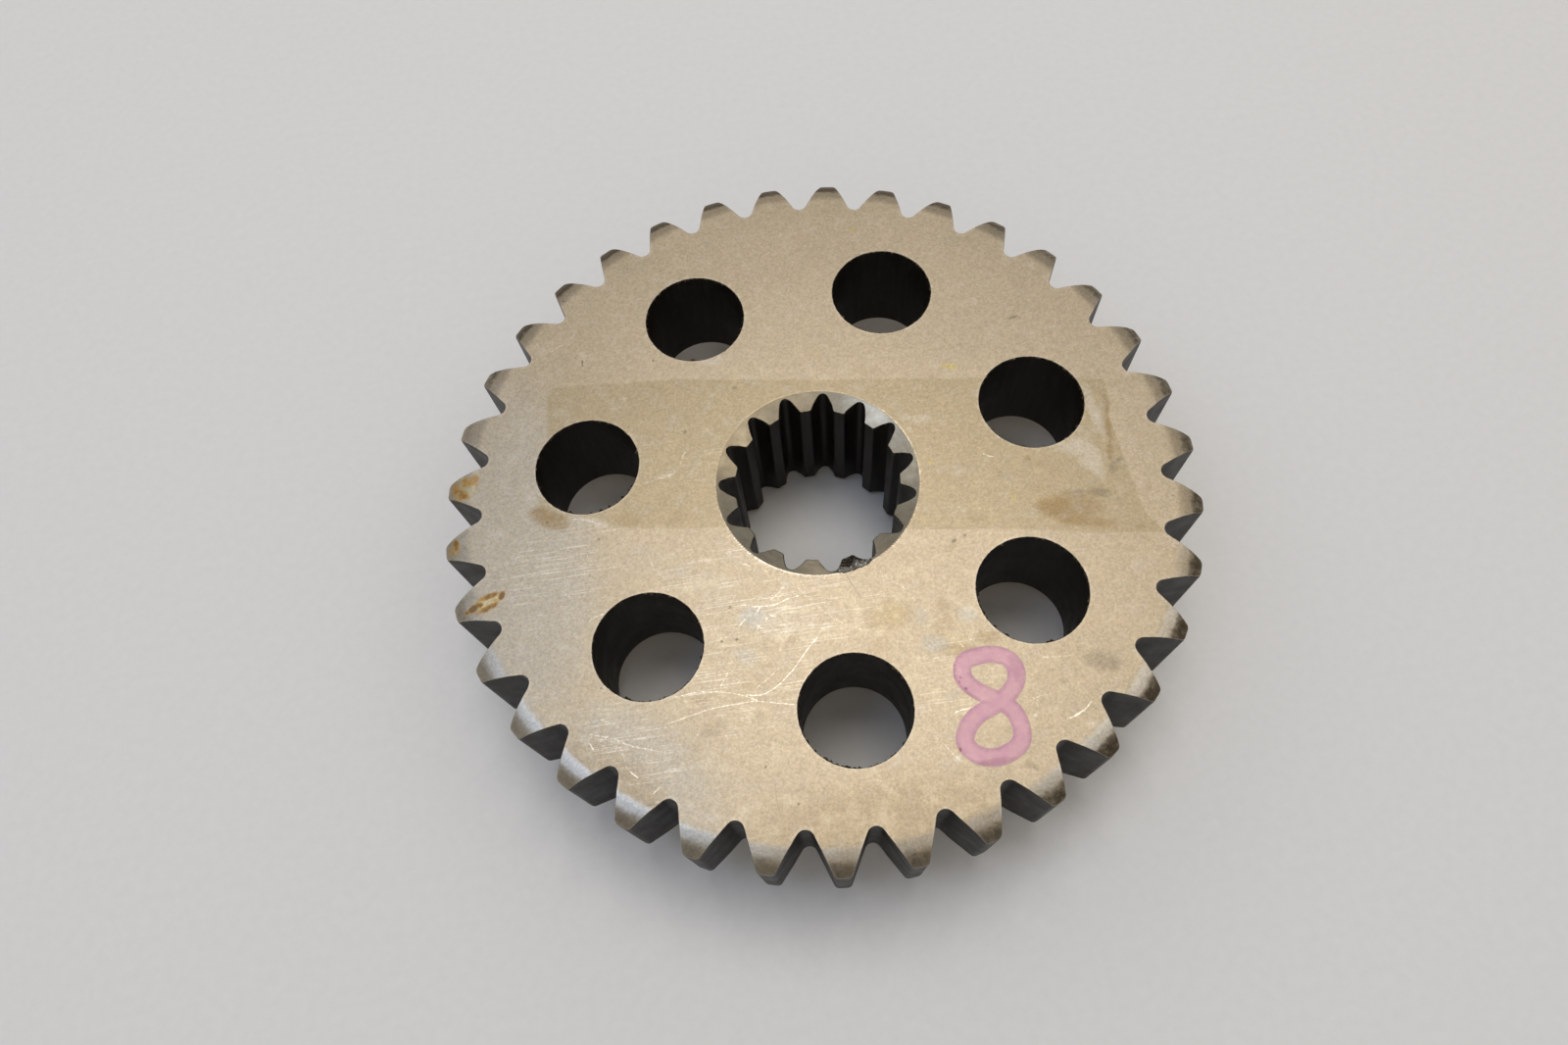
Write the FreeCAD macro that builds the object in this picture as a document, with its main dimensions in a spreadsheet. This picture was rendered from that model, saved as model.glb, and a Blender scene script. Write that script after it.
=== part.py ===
import FreeCAD, Part
import math
import os
import Sketcher

# Chain sprocket: one turned and cut steel ring with a short hub on its lower
# side. The bore axis is +Z, the hub's end lies on z = 0, and one tooth gap,
# one lightening hole and one spline groove are centred on -Y. All lengths are
# in millimetres.

os.makedirs("parts", exist_ok=True)
doc = FreeCAD.newDocument("chain_sprocket")

# Sizes. Each one is a size of its own on the object; everything that fits
# to something else is worked out from these further down.
SIZES = [
    ("thickness", 17.8, "toothed ring, face to face"),
    ("hub_height", 6.2, "how far the hub stands below the ring"),
    ("hub_wall", 5.1, "hub wall outside the groove bottoms"),
    ("hub_bevel", 0.8, "bevel round the end of the hub"),
    ("hub_fillet", 1.0, "round where the hub meets the ring"),
    ("tooth_count", 35, "teeth on the rim"),
    ("chain_pitch", 9.525, "pitch of the chain that runs on the teeth"),
    ("tip_share", 0.08, "part of a pitch that the tip circle stands over the cotangent"),
    ("gap_share", 0.588, "depth of a tooth gap as a part of the pitch"),
    ("flank_angle", 29.2, "tooth flank to the centre line of its gap, degrees"),
    ("gap_radius", 1.15, "rounding at the bottom of a gap"),
    ("tip_radius", 0.75, "rounding of the tooth corners, seen from above"),
    ("bevel_width", 3.4, "whole bevel at the rim, along the radius"),
    ("cone_width", 1.1, "straight first part of the upper bevel, along the radius"),
    ("cone_angle", 13.0, "slope of that first part, degrees"),
    ("bevel_depth", 1.5, "drop of the whole bevel at the tooth tips"),
    ("hole_count", 7, "lightening holes"),
    ("hole_dia", 14.85, "lightening hole"),
    ("hole_wall", 7.225, "steel between a lightening hole and the gap in line with it"),
    ("groove_count", 15, "spline grooves in the bore"),
    ("spline_module", 1.6667, "pitch diameter over number of grooves"),
    ("spline_angle", 30.0, "pressure angle of the spline, degrees"),
    ("crest_share", 0.51, "crests inside the spline's pitch circle, in modules"),
    ("groove_share", 0.84, "groove bottoms outside that circle, in modules"),
    ("mouth_margin", 0.425, "bore chamfer past the groove bottoms, along the radius"),
    ("mouth_angle", 24.0, "slope of the bore chamfer from the face, degrees"),
    ("break_angle", -78.0, "direction of the broken spline tooth, degrees"),
    ("break_depth", 2.25, "depth of the break at the crest of that tooth"),
    ("break_step", 0.65, "drop at the outer lip of the break"),
    ("break_lip", 0.25, "how far the break runs past the bore chamfer"),
    ("cut_past", 1.0, "how far a cutting outline runs past the steel it cuts"),
]
sheet = doc.addObject("Spreadsheet::Sheet", "Sizes")
for row, (alias, value, note) in enumerate(SIZES, start=1):
    sheet.set("A%d" % row, alias)
    sheet.set("B%d" % row, str(value))
    sheet.set("C%d" % row, note)
    sheet.setAlias("B%d" % row, alias)
doc.recompute()


def size(alias):
    return float(getattr(sheet, alias))


def polar(radius, degrees):
    angle = math.radians(degrees)
    return FreeCAD.Vector(radius * math.cos(angle), radius * math.sin(angle), 0)


def involute(degrees):
    angle = math.radians(degrees)
    return math.tan(angle) - angle


past = size("cut_past")
body = doc.addObject("PartDesign::Body", "Body")


def origin_feature(role):
    return next(f for f in body.Origin.OriginFeatures if f.Role == role)


def new_sketch(name, support):
    sketch = body.newObject("Sketcher::SketchObject", name)
    sketch.AttachmentSupport = [(support, "")]
    sketch.MapMode = "FlatFace"
    return sketch


def add_chain(sketch, pieces):
    # Draws lines (2 points) and arcs (3 points) that follow one another and
    # ties each end to the next start, so the outline stays closed.
    ids = []
    ends = []
    for points in pieces:
        if len(points) == 2:
            ids.append(sketch.addGeometry(Part.LineSegment(*points), False))
            ends.append((1, 2))
            continue
        arc = Part.Arc(*points).toShape().Curve
        first = math.atan2(points[0].y - arc.Center.y, points[0].x - arc.Center.x)
        last = math.atan2(points[2].y - arc.Center.y, points[2].x - arc.Center.x)
        centre = FreeCAD.Vector(arc.Center.x, arc.Center.y, 0)
        turn = (points[1] - points[0]).cross(points[2] - points[1]).z
        circle = Part.Circle(centre, FreeCAD.Vector(0, 0, 1), arc.Radius)
        if turn > 0:
            ids.append(sketch.addGeometry(Part.ArcOfCircle(circle, first, last), False))
            ends.append((1, 2))
        else:
            ids.append(sketch.addGeometry(Part.ArcOfCircle(circle, last, first), False))
            ends.append((2, 1))
    for i, geo in enumerate(ids):
        j = (i + 1) % len(ids)
        sketch.addConstraint(
            Sketcher.Constraint("Coincident", geo, ends[i][1], ids[j], ends[j][0])
        )


def cut_through(name, sketch):
    # A pocket taken through the ring and hub. The sketches lie just under
    # the hub's end, so the cut runs up.
    pocket = body.newObject("PartDesign::Pocket", name)
    pocket.Profile = sketch
    pocket.Type = 0
    pocket.Reversed = True
    pocket.setExpression(
        "Length", "(Sizes.thickness + Sizes.hub_height + 2 * Sizes.cut_past) * 1 mm"
    )
    sketch.AttachmentOffset = FreeCAD.Placement(
        FreeCAD.Vector(0, 0, -past), FreeCAD.Rotation()
    )
    return pocket


def repeat_round(name, feature, count_alias):
    pattern = body.newObject("PartDesign::PolarPattern", name)
    pattern.Originals = [feature]
    pattern.Axis = (origin_feature("Z_Axis"), [""])
    pattern.Angle = 360.0
    pattern.setExpression("Occurrences", "Sizes.%s" % count_alias)
    body.Tip = pattern
    return pattern


# Turned ring and hub: flat faces, a bevel at the rim and the plain bore with
# its chamfered mouths. The upper bevel is a cone that runs into a round, the
# lower one is a plain cone.
ring_base = size("hub_height")
ring_top = ring_base + size("thickness")
half_tooth = math.pi / size("tooth_count")
tip = size("chain_pitch") / 2 * (1 / math.tan(half_tooth) + size("tip_share"))
root = tip - size("gap_share") * size("chain_pitch")
bevel = tip - size("bevel_width")
pitch_radius = size("spline_module") * size("groove_count") / 2
crest = pitch_radius - size("crest_share") * size("spline_module")
major = pitch_radius + size("groove_share") * size("spline_module")
mouth = major + size("mouth_margin")
hub = major + size("hub_wall")
mouth_drop = (mouth - crest) * math.tan(math.radians(size("mouth_angle")))
cone_end = bevel + size("cone_width")
cone_drop = size("cone_width") * math.tan(math.radians(size("cone_angle")))
run = tip - cone_end
drop = size("bevel_depth") - cone_drop
start_slope = math.radians(size("cone_angle"))
end_slope = 2 * math.atan2(drop, run) - start_slope
round_radius = run / (math.sin(end_slope) - math.sin(start_slope))
mid_slope = (start_slope + end_slope) / 2
mid_run = cone_end + round_radius * (math.sin(mid_slope) - math.sin(start_slope))
mid_drop = cone_drop + round_radius * (math.cos(start_slope) - math.cos(mid_slope))
hub_round = size("hub_fillet")
round_cut = hub_round * (1 - math.sqrt(0.5))


def section(radius, height):
    return FreeCAD.Vector(radius, height, 0)


ring = new_sketch("RingSection", origin_feature("XZ_Plane"))
add_chain(ring, [
    (section(crest, mouth_drop), section(mouth, 0)),
    (section(mouth, 0), section(hub - size("hub_bevel"), 0)),
    (section(hub - size("hub_bevel"), 0), section(hub, size("hub_bevel"))),
    (section(hub, size("hub_bevel")), section(hub, ring_base - hub_round)),
    (
        section(hub, ring_base - hub_round),
        section(hub + round_cut, ring_base - round_cut),
        section(hub + hub_round, ring_base),
    ),
    (section(hub + hub_round, ring_base), section(bevel, ring_base)),
    (section(bevel, ring_base), section(tip, ring_base + size("bevel_depth"))),
    (
        section(tip, ring_base + size("bevel_depth")),
        section(tip, ring_top - size("bevel_depth")),
    ),
    (
        section(tip, ring_top - size("bevel_depth")),
        section(mid_run, ring_top - mid_drop),
        section(cone_end, ring_top - cone_drop),
    ),
    (section(cone_end, ring_top - cone_drop), section(bevel, ring_top)),
    (section(bevel, ring_top), section(mouth, ring_top)),
    (section(mouth, ring_top), section(crest, ring_top - mouth_drop)),
    (section(crest, ring_top - mouth_drop), section(crest, mouth_drop)),
])
turned = body.newObject("PartDesign::Revolution", "TurnedRing")
turned.Profile = ring
turned.ReferenceAxis = (ring, ["V_Axis"])
turned.Angle = 360.0

# Tooth gap: straight flanks, a round bottom and rounded tooth corners. It is
# drawn along -Y, so a local point (across, out) turns to (across, -out).
flank = math.radians(size("flank_angle"))
gap_round = size("gap_radius")
tip_round = size("tip_radius")
centre_out = root + gap_round
apex = centre_out - gap_round / math.sin(flank)
low_across = gap_round * math.cos(flank)
low_out = centre_out - gap_round * math.sin(flank)
# Centre of a corner rounding: tip_round inside the tip circle, and as far
# from the flank line on the tooth side.
corner_reach = tip - tip_round
shift = tip_round / math.cos(flank)
slope = math.tan(flank)
quad_a = 1 + slope ** 2
quad_b = slope * (shift - slope * apex)
quad_c = (shift - slope * apex) ** 2 - corner_reach ** 2
corner_out = (-quad_b + math.sqrt(quad_b ** 2 - quad_a * quad_c)) / quad_a
corner_across = slope * (corner_out - apex) + shift
high_across = corner_across - tip_round * math.cos(flank)
high_out = corner_out + tip_round * math.sin(flank)
top_across = corner_across * tip / corner_reach
top_out = corner_out * tip / corner_reach
round_mid = math.radians(
    (math.degrees(math.atan2(top_out - corner_out, top_across - corner_across))
     + 180 - size("flank_angle")) / 2
)
mid_across = corner_across + tip_round * math.cos(round_mid)
mid_out = corner_out + tip_round * math.sin(round_mid)
past_across = top_across * (tip + 2 * past) / tip
past_out = top_out * (tip + 2 * past) / tip


def gap_point(across, out):
    return FreeCAD.Vector(across, -out, 0)


gap = new_sketch("GapOutline", origin_feature("XY_Plane"))
add_chain(gap, [
    (
        gap_point(-low_across, low_out),
        gap_point(0, root),
        gap_point(low_across, low_out),
    ),
    (gap_point(low_across, low_out), gap_point(high_across, high_out)),
    (
        gap_point(high_across, high_out),
        gap_point(mid_across, mid_out),
        gap_point(top_across, top_out),
    ),
    (gap_point(top_across, top_out), gap_point(past_across, past_out)),
    (gap_point(past_across, past_out), gap_point(-past_across, past_out)),
    (gap_point(-past_across, past_out), gap_point(-top_across, top_out)),
    (
        gap_point(-top_across, top_out),
        gap_point(-mid_across, mid_out),
        gap_point(-high_across, high_out),
    ),
    (gap_point(-high_across, high_out), gap_point(-low_across, low_out)),
])
gap_cut = cut_through("ToothGap", gap)
repeat_round("Teeth", gap_cut, "tooth_count")

# Lightening hole.
hole = new_sketch("HoleCircle", origin_feature("XY_Plane"))
hole_radius = size("hole_dia") / 2
hole_centre = polar(root - size("hole_wall") - hole_radius, -90)
hole.addGeometry(
    Part.Circle(hole_centre, FreeCAD.Vector(0, 0, 1), hole_radius), False
)
hole_cut = cut_through("LighteningHole", hole)
repeat_round("LighteningHoles", hole_cut, "hole_count")

# Spline groove: two involute flanks that run into one round at the bottom.
base_radius = pitch_radius * math.cos(math.radians(size("spline_angle")))
pitch_half = math.pi / (2 * size("groove_count"))


def half_groove(radius):
    # Half the angle the groove takes up at this radius.
    pressure = math.degrees(math.acos(base_radius / radius))
    return pitch_half + involute(size("spline_angle")) - involute(pressure)


def bottom_round(radius):
    # Radius of the round that touches both flanks at this radius.
    pressure = math.acos(base_radius / radius)
    half = half_groove(radius)
    lean = pressure - half
    return radius * math.sin(half) / math.cos(lean), lean


def groove_reach(radius):
    bend, lean = bottom_round(radius)
    return radius * math.cos(half_groove(radius)) - bend * math.sin(lean) + bend


low, high = pitch_radius, major
for _ in range(60):
    form = (low + high) / 2
    if groove_reach(form) < major:
        low = form
    else:
        high = form
inside = crest - past


def flank_point(radius, side):
    return polar(radius, -90 + side * math.degrees(half_groove(radius)))


def straight_point(side):
    return polar(inside, -90 + side * math.degrees(half_groove(crest)))


def flank_arc(side):
    return [flank_point(r, side) for r in (crest, (crest + form) / 2, form)]


groove = new_sketch("GrooveOutline", origin_feature("XY_Plane"))
add_chain(groove, [
    (straight_point(-1), flank_point(crest, -1)),
    tuple(flank_arc(-1)),
    (flank_point(form, -1), polar(major, -90), flank_point(form, 1)),
    tuple(reversed(flank_arc(1))),
    (flank_point(crest, 1), straight_point(1)),
    (straight_point(1), straight_point(-1)),
])
groove_cut = cut_through("SplineGroove", groove)
repeat_round("Spline", groove_cut, "groove_count")

# Broken spline tooth: its upper end is gone, from a small step at the outer
# lip down to the crest. The break is drawn as a row of radial sections. Each
# has its place across the tooth in half pitches, its depth as a part of the
# full one, and how far its lip is shifted outwards.
half_pitch = 180 / size("groove_count")
lip = mouth + size("break_lip")
deep = size("break_depth")
step = size("break_step")
BREAK_SECTIONS = [
    (-0.95, 0.35, -0.30),
    (-0.50, 0.95, -0.05),
    (-0.10, 1.10, 0.00),
    (0.30, 0.85, 0.00),
    (0.65, 1.05, -0.05),
    (0.97, 0.30, -0.35),
]
sections = []
for i, (across, depth_part, lip_shift) in enumerate(BREAK_SECTIONS):
    outer = lip + lip_shift
    middle = (outer + crest) / 2
    floor = ring_top - step * depth_part
    sketch = new_sketch("BreakSection%d" % (i + 1), origin_feature("XZ_Plane"))
    turn = FreeCAD.Rotation(
        FreeCAD.Vector(0, 1, 0), size("break_angle") + across * half_pitch
    )
    sketch.AttachmentOffset = FreeCAD.Placement(FreeCAD.Vector(0, 0, 0), turn)
    add_chain(sketch, [
        (
            FreeCAD.Vector(outer, ring_top + past, 0),
            FreeCAD.Vector(crest - past, ring_top + past, 0),
        ),
        (
            FreeCAD.Vector(crest - past, ring_top + past, 0),
            FreeCAD.Vector(crest - past, ring_top - deep * depth_part - past / 2, 0),
        ),
        (
            FreeCAD.Vector(crest - past, ring_top - deep * depth_part - past / 2, 0),
            FreeCAD.Vector(middle, floor - step * depth_part, 0),
        ),
        (
            FreeCAD.Vector(middle, floor - step * depth_part, 0),
            FreeCAD.Vector(outer - step / 2, floor, 0),
        ),
        (
            FreeCAD.Vector(outer - step / 2, floor, 0),
            FreeCAD.Vector(outer, ring_top + past, 0),
        ),
    ])
    sections.append(sketch)
broken = body.newObject("PartDesign::SubtractiveLoft", "BrokenTooth")
broken.Profile = sections[0]
broken.Sections = [(s, [""]) for s in sections[1:]]
broken.Ruled = True
broken.Closed = False
body.Tip = broken

body.Label = "sprocket"
doc.recompute()

for item in doc.Objects:
    if "Invalid" in item.State or "Error" in item.State:
        raise RuntimeError("%s is not in a good state" % item.Name)
shape = body.Shape
if shape.isNull() or not shape.isValid():
    raise RuntimeError("the sprocket has no valid shape")
shape.exportStep(os.path.join("parts", body.Label + ".step"))
print("volume in mm3:", round(shape.Volume, 1))
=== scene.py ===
import math

import bpy
import numpy as np
from mathutils import Matrix, Vector, noise
from mathutils.geometry import delaunay_2d_cdt


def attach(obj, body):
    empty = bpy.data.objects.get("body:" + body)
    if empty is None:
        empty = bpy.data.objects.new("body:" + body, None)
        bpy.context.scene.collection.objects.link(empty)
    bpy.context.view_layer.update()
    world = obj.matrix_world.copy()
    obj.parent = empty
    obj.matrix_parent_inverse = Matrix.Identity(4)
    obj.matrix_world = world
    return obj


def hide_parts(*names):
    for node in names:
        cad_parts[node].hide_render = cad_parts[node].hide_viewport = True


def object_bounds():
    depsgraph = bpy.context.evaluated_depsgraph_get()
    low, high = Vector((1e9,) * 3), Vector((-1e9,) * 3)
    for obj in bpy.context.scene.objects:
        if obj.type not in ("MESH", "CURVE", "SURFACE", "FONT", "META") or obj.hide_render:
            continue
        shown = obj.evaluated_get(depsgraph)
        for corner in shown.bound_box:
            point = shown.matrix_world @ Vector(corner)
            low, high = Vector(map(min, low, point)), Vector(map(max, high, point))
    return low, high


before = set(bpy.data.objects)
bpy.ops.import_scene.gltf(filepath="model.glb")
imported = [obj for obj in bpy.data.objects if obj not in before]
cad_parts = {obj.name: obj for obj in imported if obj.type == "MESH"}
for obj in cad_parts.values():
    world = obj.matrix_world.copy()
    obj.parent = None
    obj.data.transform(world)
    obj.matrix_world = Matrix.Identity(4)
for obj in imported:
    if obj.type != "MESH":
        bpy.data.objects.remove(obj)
CAD_LOW, CAD_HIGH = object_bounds()

bl_info = {
    "name": "Chain sprocket",
    "version": (1, 0, 0),
    "blender": (4, 5, 0),
    "location": "3D View > Sidebar > Sprocket",
    "description": "Worn steel sprocket for a silent chain, with a splined bore",
    "category": "Object",
}

# Lengths in this file are millimetres until the mesh is written.
MM = 0.001
# The part's +Z is the bore axis; a tooth gap, a hole and a spline groove
# are centred on -Y.
START = -90.0

# Finishes, in the order of the mesh's materials.
FACE, TURNED, CUT, BROKEN = range(4)

# Shapes that a user wouldn't change, in millimetres and degrees. The tip and
# the gap are shares of the chain pitch; this tip share keeps the worn mesh
# inside the solid's tip circle.
TIP_SHARE = 0.0799
GAP_SHARE = 0.588
FLANK_ANGLE = 29.2
GAP_ROUND = 1.15
TIP_ROUND = 0.75
# The bevel starts as a cone of this width and angle, then runs into a round.
CONE_WIDTH = 1.1
CONE_ANGLE = 13.0
SPLINE_ANGLE = 30.0
SPLINE_MODULE = 1.6667
MOUTH_ANGLE = 24.0
CREST_ROUND = 0.3
HUB_BEVEL = 0.8
HUB_FILLET = 1.0
# The break: its direction, its depth at the crest, the step at its upper end
# and how far it reaches past the chamfer.
BREAK_ANGLE = -78.0
BREAK_DEPTH = 2.25
BREAK_STEP = 0.65
BREAK_LIP = 0.25
# Where finer mesh points carry the break: across the tooth, then out from the axis.
BREAK_PATCH = ((-3.4, 3.4), (11.3, 15.4))
# Sides of the round outlines, and steps round a worn upper edge, a lower edge
# and the hub's fillet.
HUB_SIDES = 160
HOLE_SIDES = 240
EDGE_STEPS, LOW_EDGE_STEPS, FILLET_STEPS = 4, 3, 4
# Steps along a tooth's corner, flank, round bottom and land.
CORNER_STEPS, FLANK_STEPS, BOTTOM_STEPS, LAND_STEPS = 6, 8, 12, 6
# Points along a spline crest's corner, a groove's flank and a crest, and how
# often the search for the involute's end halves its range.
CREST_CORNER, GROOVE_FLANK, CREST_LAND, HALVINGS = 6, 10, 8, 60
# Gaps between mesh points on the upper face, the ring's and the hub's lower
# faces, the painted figure and the break.
FACE_GRID, RING_GRID, HUB_GRID = 0.62, 2.4, 1.5
PAINT_GRID, BREAK_GRID = 0.17, 0.12
# Rows of mesh points beside the bevel's start and the chamfer's rim, and down
# a wall as shares of its height.
BEVEL_ROWS = (-0.7, -0.4, -0.1, 0.2, 0.5, 0.8, 1.2, 1.6, 2.0, 2.4, 2.9)
MOUTH_ROWS = (0.25, 0.09, -0.09, -0.6, -1.2, -1.8, -2.3)
WALL_ROWS = (0.03, 0.12, 0.35, 0.65, 1.0)
# Place across the broken tooth in half pitches, part of the full depth, and
# shift of the outer lip.
BREAK_ROWS = (
    (-0.99, 0.0, -0.45),
    (-0.95, 0.35, -0.30),
    (-0.50, 0.95, -0.05),
    (-0.10, 1.10, 0.00),
    (0.30, 0.85, 0.00),
    (0.65, 1.05, -0.05),
    (0.97, 0.30, -0.35),
    (1.0, 0.0, -0.45),
)

# Marks on the upper face, as points (x, y) on the part. The painted figure is
# one closed stroke of a paint marker.
PAINT_WIDTH = 2.3
PAINT_STROKE = (
    (14.3, -30.7), (14.9, -29.0), (16.8, -28.5), (18.9, -28.6), (20.6, -29.5),
    (21.2, -31.1), (20.7, -32.8), (19.2, -34.2), (17.6, -35.1), (15.1, -36.1),
    (13.5, -37.6), (12.9, -39.3), (14.0, -40.9), (16.0, -41.6), (18.0, -41.3),
    (19.7, -40.3), (20.2, -38.8), (20.0, -36.9), (19.1, -35.4), (17.5, -34.2),
    (15.9, -33.1), (14.8, -31.9),
)
# Scratches: strength, then their points.
SCRATCHES = (
    (0.35, ((6.0, -14.6), (10.5, -20.2), (15.0, -26.8))),
    (0.4, ((-5.6, -14.8), (-1.2, -20.3), (2.4, -22.6))),
    (0.4, ((-0.8, -19.0), (-3.2, -22.4), (-6.2, -24.4))),
    (0.45, ((-35.6, -31.2), (-31.5, -32.5), (-24.2, -35.2))),
    (0.35, ((-32.8, -29.6), (-33.9, -31.6), (-32.0, -33.4))),
    (0.6, ((-23.9, -31.3), (-20.5, -30.6), (-18.0, -30.2), (-15.0, -30.1), (-12.6, -30.1),
           (-10.0, -30.7), (-7.6, -31.3))),
    (0.6, ((-22.7, -28.0), (-20.0, -27.8), (-17.6, -28.1), (-15.8, -28.5), (-13.9, -29.2),
           (-12.2, -30.1))),
    (0.7, ((-13.6, -29.1), (-11.8, -29.4), (-9.8, -28.7), (-7.9, -27.3), (-6.6, -26.1),
           (-4.9, -24.2), (-3.5, -22.9))),
    (0.5, ((-12.2, -28.3), (-11.1, -27.7), (-9.8, -26.8), (-8.9, -26.1))),
    (0.3, ((-9.0, -25.6), (-8.4, -23.4), (-7.3, -21.4), (-6.7, -20.6))),
    (0.5, ((-17.3, -27.9), (-16.3, -26.8), (-15.6, -25.7))),
    (0.4, ((-15.9, -26.6), (-15.9, -27.6))),
    (0.4, ((-14.8, -27.7), (-14.2, -26.9))),
    (0.3, ((-14.3, -24.5), (-13.8, -25.5), (-13.4, -26.8))),
    (0.4, ((-19.4, -16.5), (-17.2, -17.5), (-15.1, -17.8))),
    (0.65, ((-11.4, -17.3), (-9.5, -17.5), (-8.4, -17.5), (-6.8, -17.0), (-5.1, -16.7))),
    (0.6, ((-12.8, -16.8), (-12.2, -17.0))),
    (0.55, ((-8.8, -16.7), (-7.9, -16.1), (-7.1, -15.3))),
    (0.5, ((-8.2, -16.9), (-7.2, -16.2))),
    (1.0, ((-10.8, -18.1), (-10.4, -17.5))),
    (0.8, ((-13.4, -19.7), (-12.7, -19.0))),
    (0.3, ((-15.8, -21.3), (-14.4, -20.4), (-13.4, -19.7))),
    (0.7, ((-9.6, -19.2), (-9.1, -18.9), (-8.5, -19.1))),
    (0.8, ((-11.1, -20.4), (-10.8, -20.1), (-10.6, -20.4))),
    (0.4, ((-4.5, -16.5), (-3.0, -18.3), (-1.6, -20.0))),
    (0.6, ((-2.4, -21.8), (-1.9, -21.6), (-1.4, -21.7))),
    (0.4, ((0.0, -21.1), (2.0, -21.0))),
    (0.3, ((-2.6, -19.3), (-0.4, -19.6))),
    (0.6, ((-11.9, -11.0), (-11.4, -11.2), (-10.9, -11.6))),
    (0.5, ((-13.9, -9.0), (-13.1, -9.1))),
    (0.4, ((-9.9, -11.4), (-8.8, -12.6), (-7.6, -13.4))),
    (0.3, ((-24.9, -30.6), (-23.0, -30.3))),
    (0.3, ((-24.6, -31.9), (-22.6, -31.6))),
    (0.5, ((-32.7, -29.5), (-31.2, -30.3), (-30.2, -31.1))),
    (0.6, ((-34.3, -31.2), (-31.5, -32.1), (-30.4, -32.6), (-28.8, -33.6), (-26.6, -34.3))),
    (0.5, ((-32.9, -32.3), (-31.6, -31.6), (-30.6, -31.2))),
    (0.8, ((-34.3, -32.4), (-33.9, -33.2))),
    (0.5, ((-30.4, -33.6), (-30.1, -34.8), (-29.9, -36.0), (-29.4, -36.7), (-28.6, -37.5))),
    (1.0, ((-29.4, -36.7), (-28.6, -37.5))),
    (0.3, ((-25.7, -34.4), (-24.1, -34.8))),
    (0.6, ((-26.7, -39.8), (-25.9, -39.2))),
    (0.4, ((6.4, -15.6), (8.5, -17.2), (9.5, -18.5), (11.0, -21.0), (12.8, -23.2),
           (14.3, -24.7), (15.2, -27.0))),
    (0.7, ((12.5, -35.3), (13.6, -35.1), (14.9, -35.0))),
    (0.4, ((21.6, -37.7), (22.9, -36.8), (23.0, -35.3))),
    (0.5, ((22.0, -35.3), (23.5, -34.8), (24.9, -34.8))),
    (0.8, ((26.6, -38.2), (27.8, -37.8), (28.6, -37.4), (29.4, -36.7))),
    (0.7, ((26.5, -38.1), (28.7, -37.3))),
    (0.6, ((10.3, -39.2), (11.1, -40.4), (11.8, -41.4))),
    (0.5, ((25.0, -29.9), (26.6, -30.1), (28.5, -30.2))),
    (0.5, ((-24.6, 3.3), (-22.8, 3.7), (-20.5, 4.0), (-19.3, 4.7))),
    (0.5, ((-18.9, 5.6), (-18.3, 7.0), (-17.7, 7.5), (-17.4, 8.3))),
    (0.35, ((-35.2, -8.7), (-34.4, -7.6), (-33.9, -6.0), (-33.4, -6.0), (-32.6, -7.2),
            (-32.0, -8.2))),
    (0.4, ((-24.6, -7.4), (-24.4, -8.6), (-24.0, -9.8))),
    (0.3, ((-42.3, -5.5), (-42.2, -8.5), (-42.6, -10.8), (-42.9, -12.0))),
    (0.4, ((-39.2, -2.4), (-38.0, -1.6))),
    (0.7, ((-33.3, -15.9), (-32.6, -15.5), (-31.5, -15.2))),
    (0.5, ((-34.8, -0.5), (-32.5, -1.2), (-30.2, -2.6))),
    (0.5, ((-36.5, 27.6), (-34.6, 28.7), (-32.9, 30.0))),
    (0.7, ((23.6, 0.2), (24.5, -0.4), (25.0, -0.5))),
    (0.3, ((15.0, 7.6), (16.4, 7.2), (17.4, 7.6))),
    (0.3, ((18.6, -7.4), (20.6, -8.0), (23.4, -7.8))),
    (0.35, ((-21.5, -33.5), (-18.5, -33.0), (-15.5, -33.2))),
    (0.3, ((-40.5, -5.5), (-39.3, -4.8), (-38.2, -4.6))),
    (0.3, ((-39.8, -8.6), (-38.6, -7.9), (-37.2, -7.6))),
    (0.35, ((-37.0, -10.9), (-36.0, -11.9), (-35.4, -12.8))),
    (0.3, ((-44.6, -6.0), (-43.6, -5.7), (-42.6, -5.9))),
    (0.3, ((-38.4, -13.6), (-37.0, -13.2), (-35.8, -13.6))),
    (0.35, ((-12.0, -21.5), (-9.0, -20.9), (-6.0, -21.6), (-3.6, -20.8))),
    (0.3, ((-16.5, -19.5), (-13.5, -18.6), (-10.8, -18.4))),
    (0.3, ((-7.0, -23.6), (-4.6, -21.4), (-2.4, -18.6), (-1.0, -16.0))),
    (0.4, ((-13.0, -33.9), (-11.6, -33.5), (-10.2, -33.8))),
    (0.3, ((19.5, -15.2), (21.8, -16.6), (23.0, -18.4))),
    (0.35, ((23.6, -40.2), (25.8, -39.7), (27.6, -39.9))),
    (0.3, ((8.0, -33.0), (8.6, -36.2), (9.8, -38.6))),
)
# Thin dark lines: hairs of dirt, the foot of the tape strip and the hairline
# that runs out of the break.
DARK_LINES = (
    (0.3, ((26.1, -30.3), (27.1, -32.6))),
    (0.5, ((1.7, -14.6), (2.3, -16.2), (3.0, -18.0))),
    (0.4, ((-11.5, -40.2), (-11.5, -43.0), (-11.3, -44.8))),
    (0.6, ((-29.3, -42.3), (-28.8, -41.6), (-27.8, -41.2), (-26.2, -41.1))),
    (0.4, ((14.0, -9.9), (17.0, -10.3), (20.2, -10.9))),
    (0.9, ((-31.9, 25.2), (-31.9, 24.4))),
    (0.5, ((-2.8, -49.4), (-0.2, -48.9), (1.4, -48.6))),
)
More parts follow.
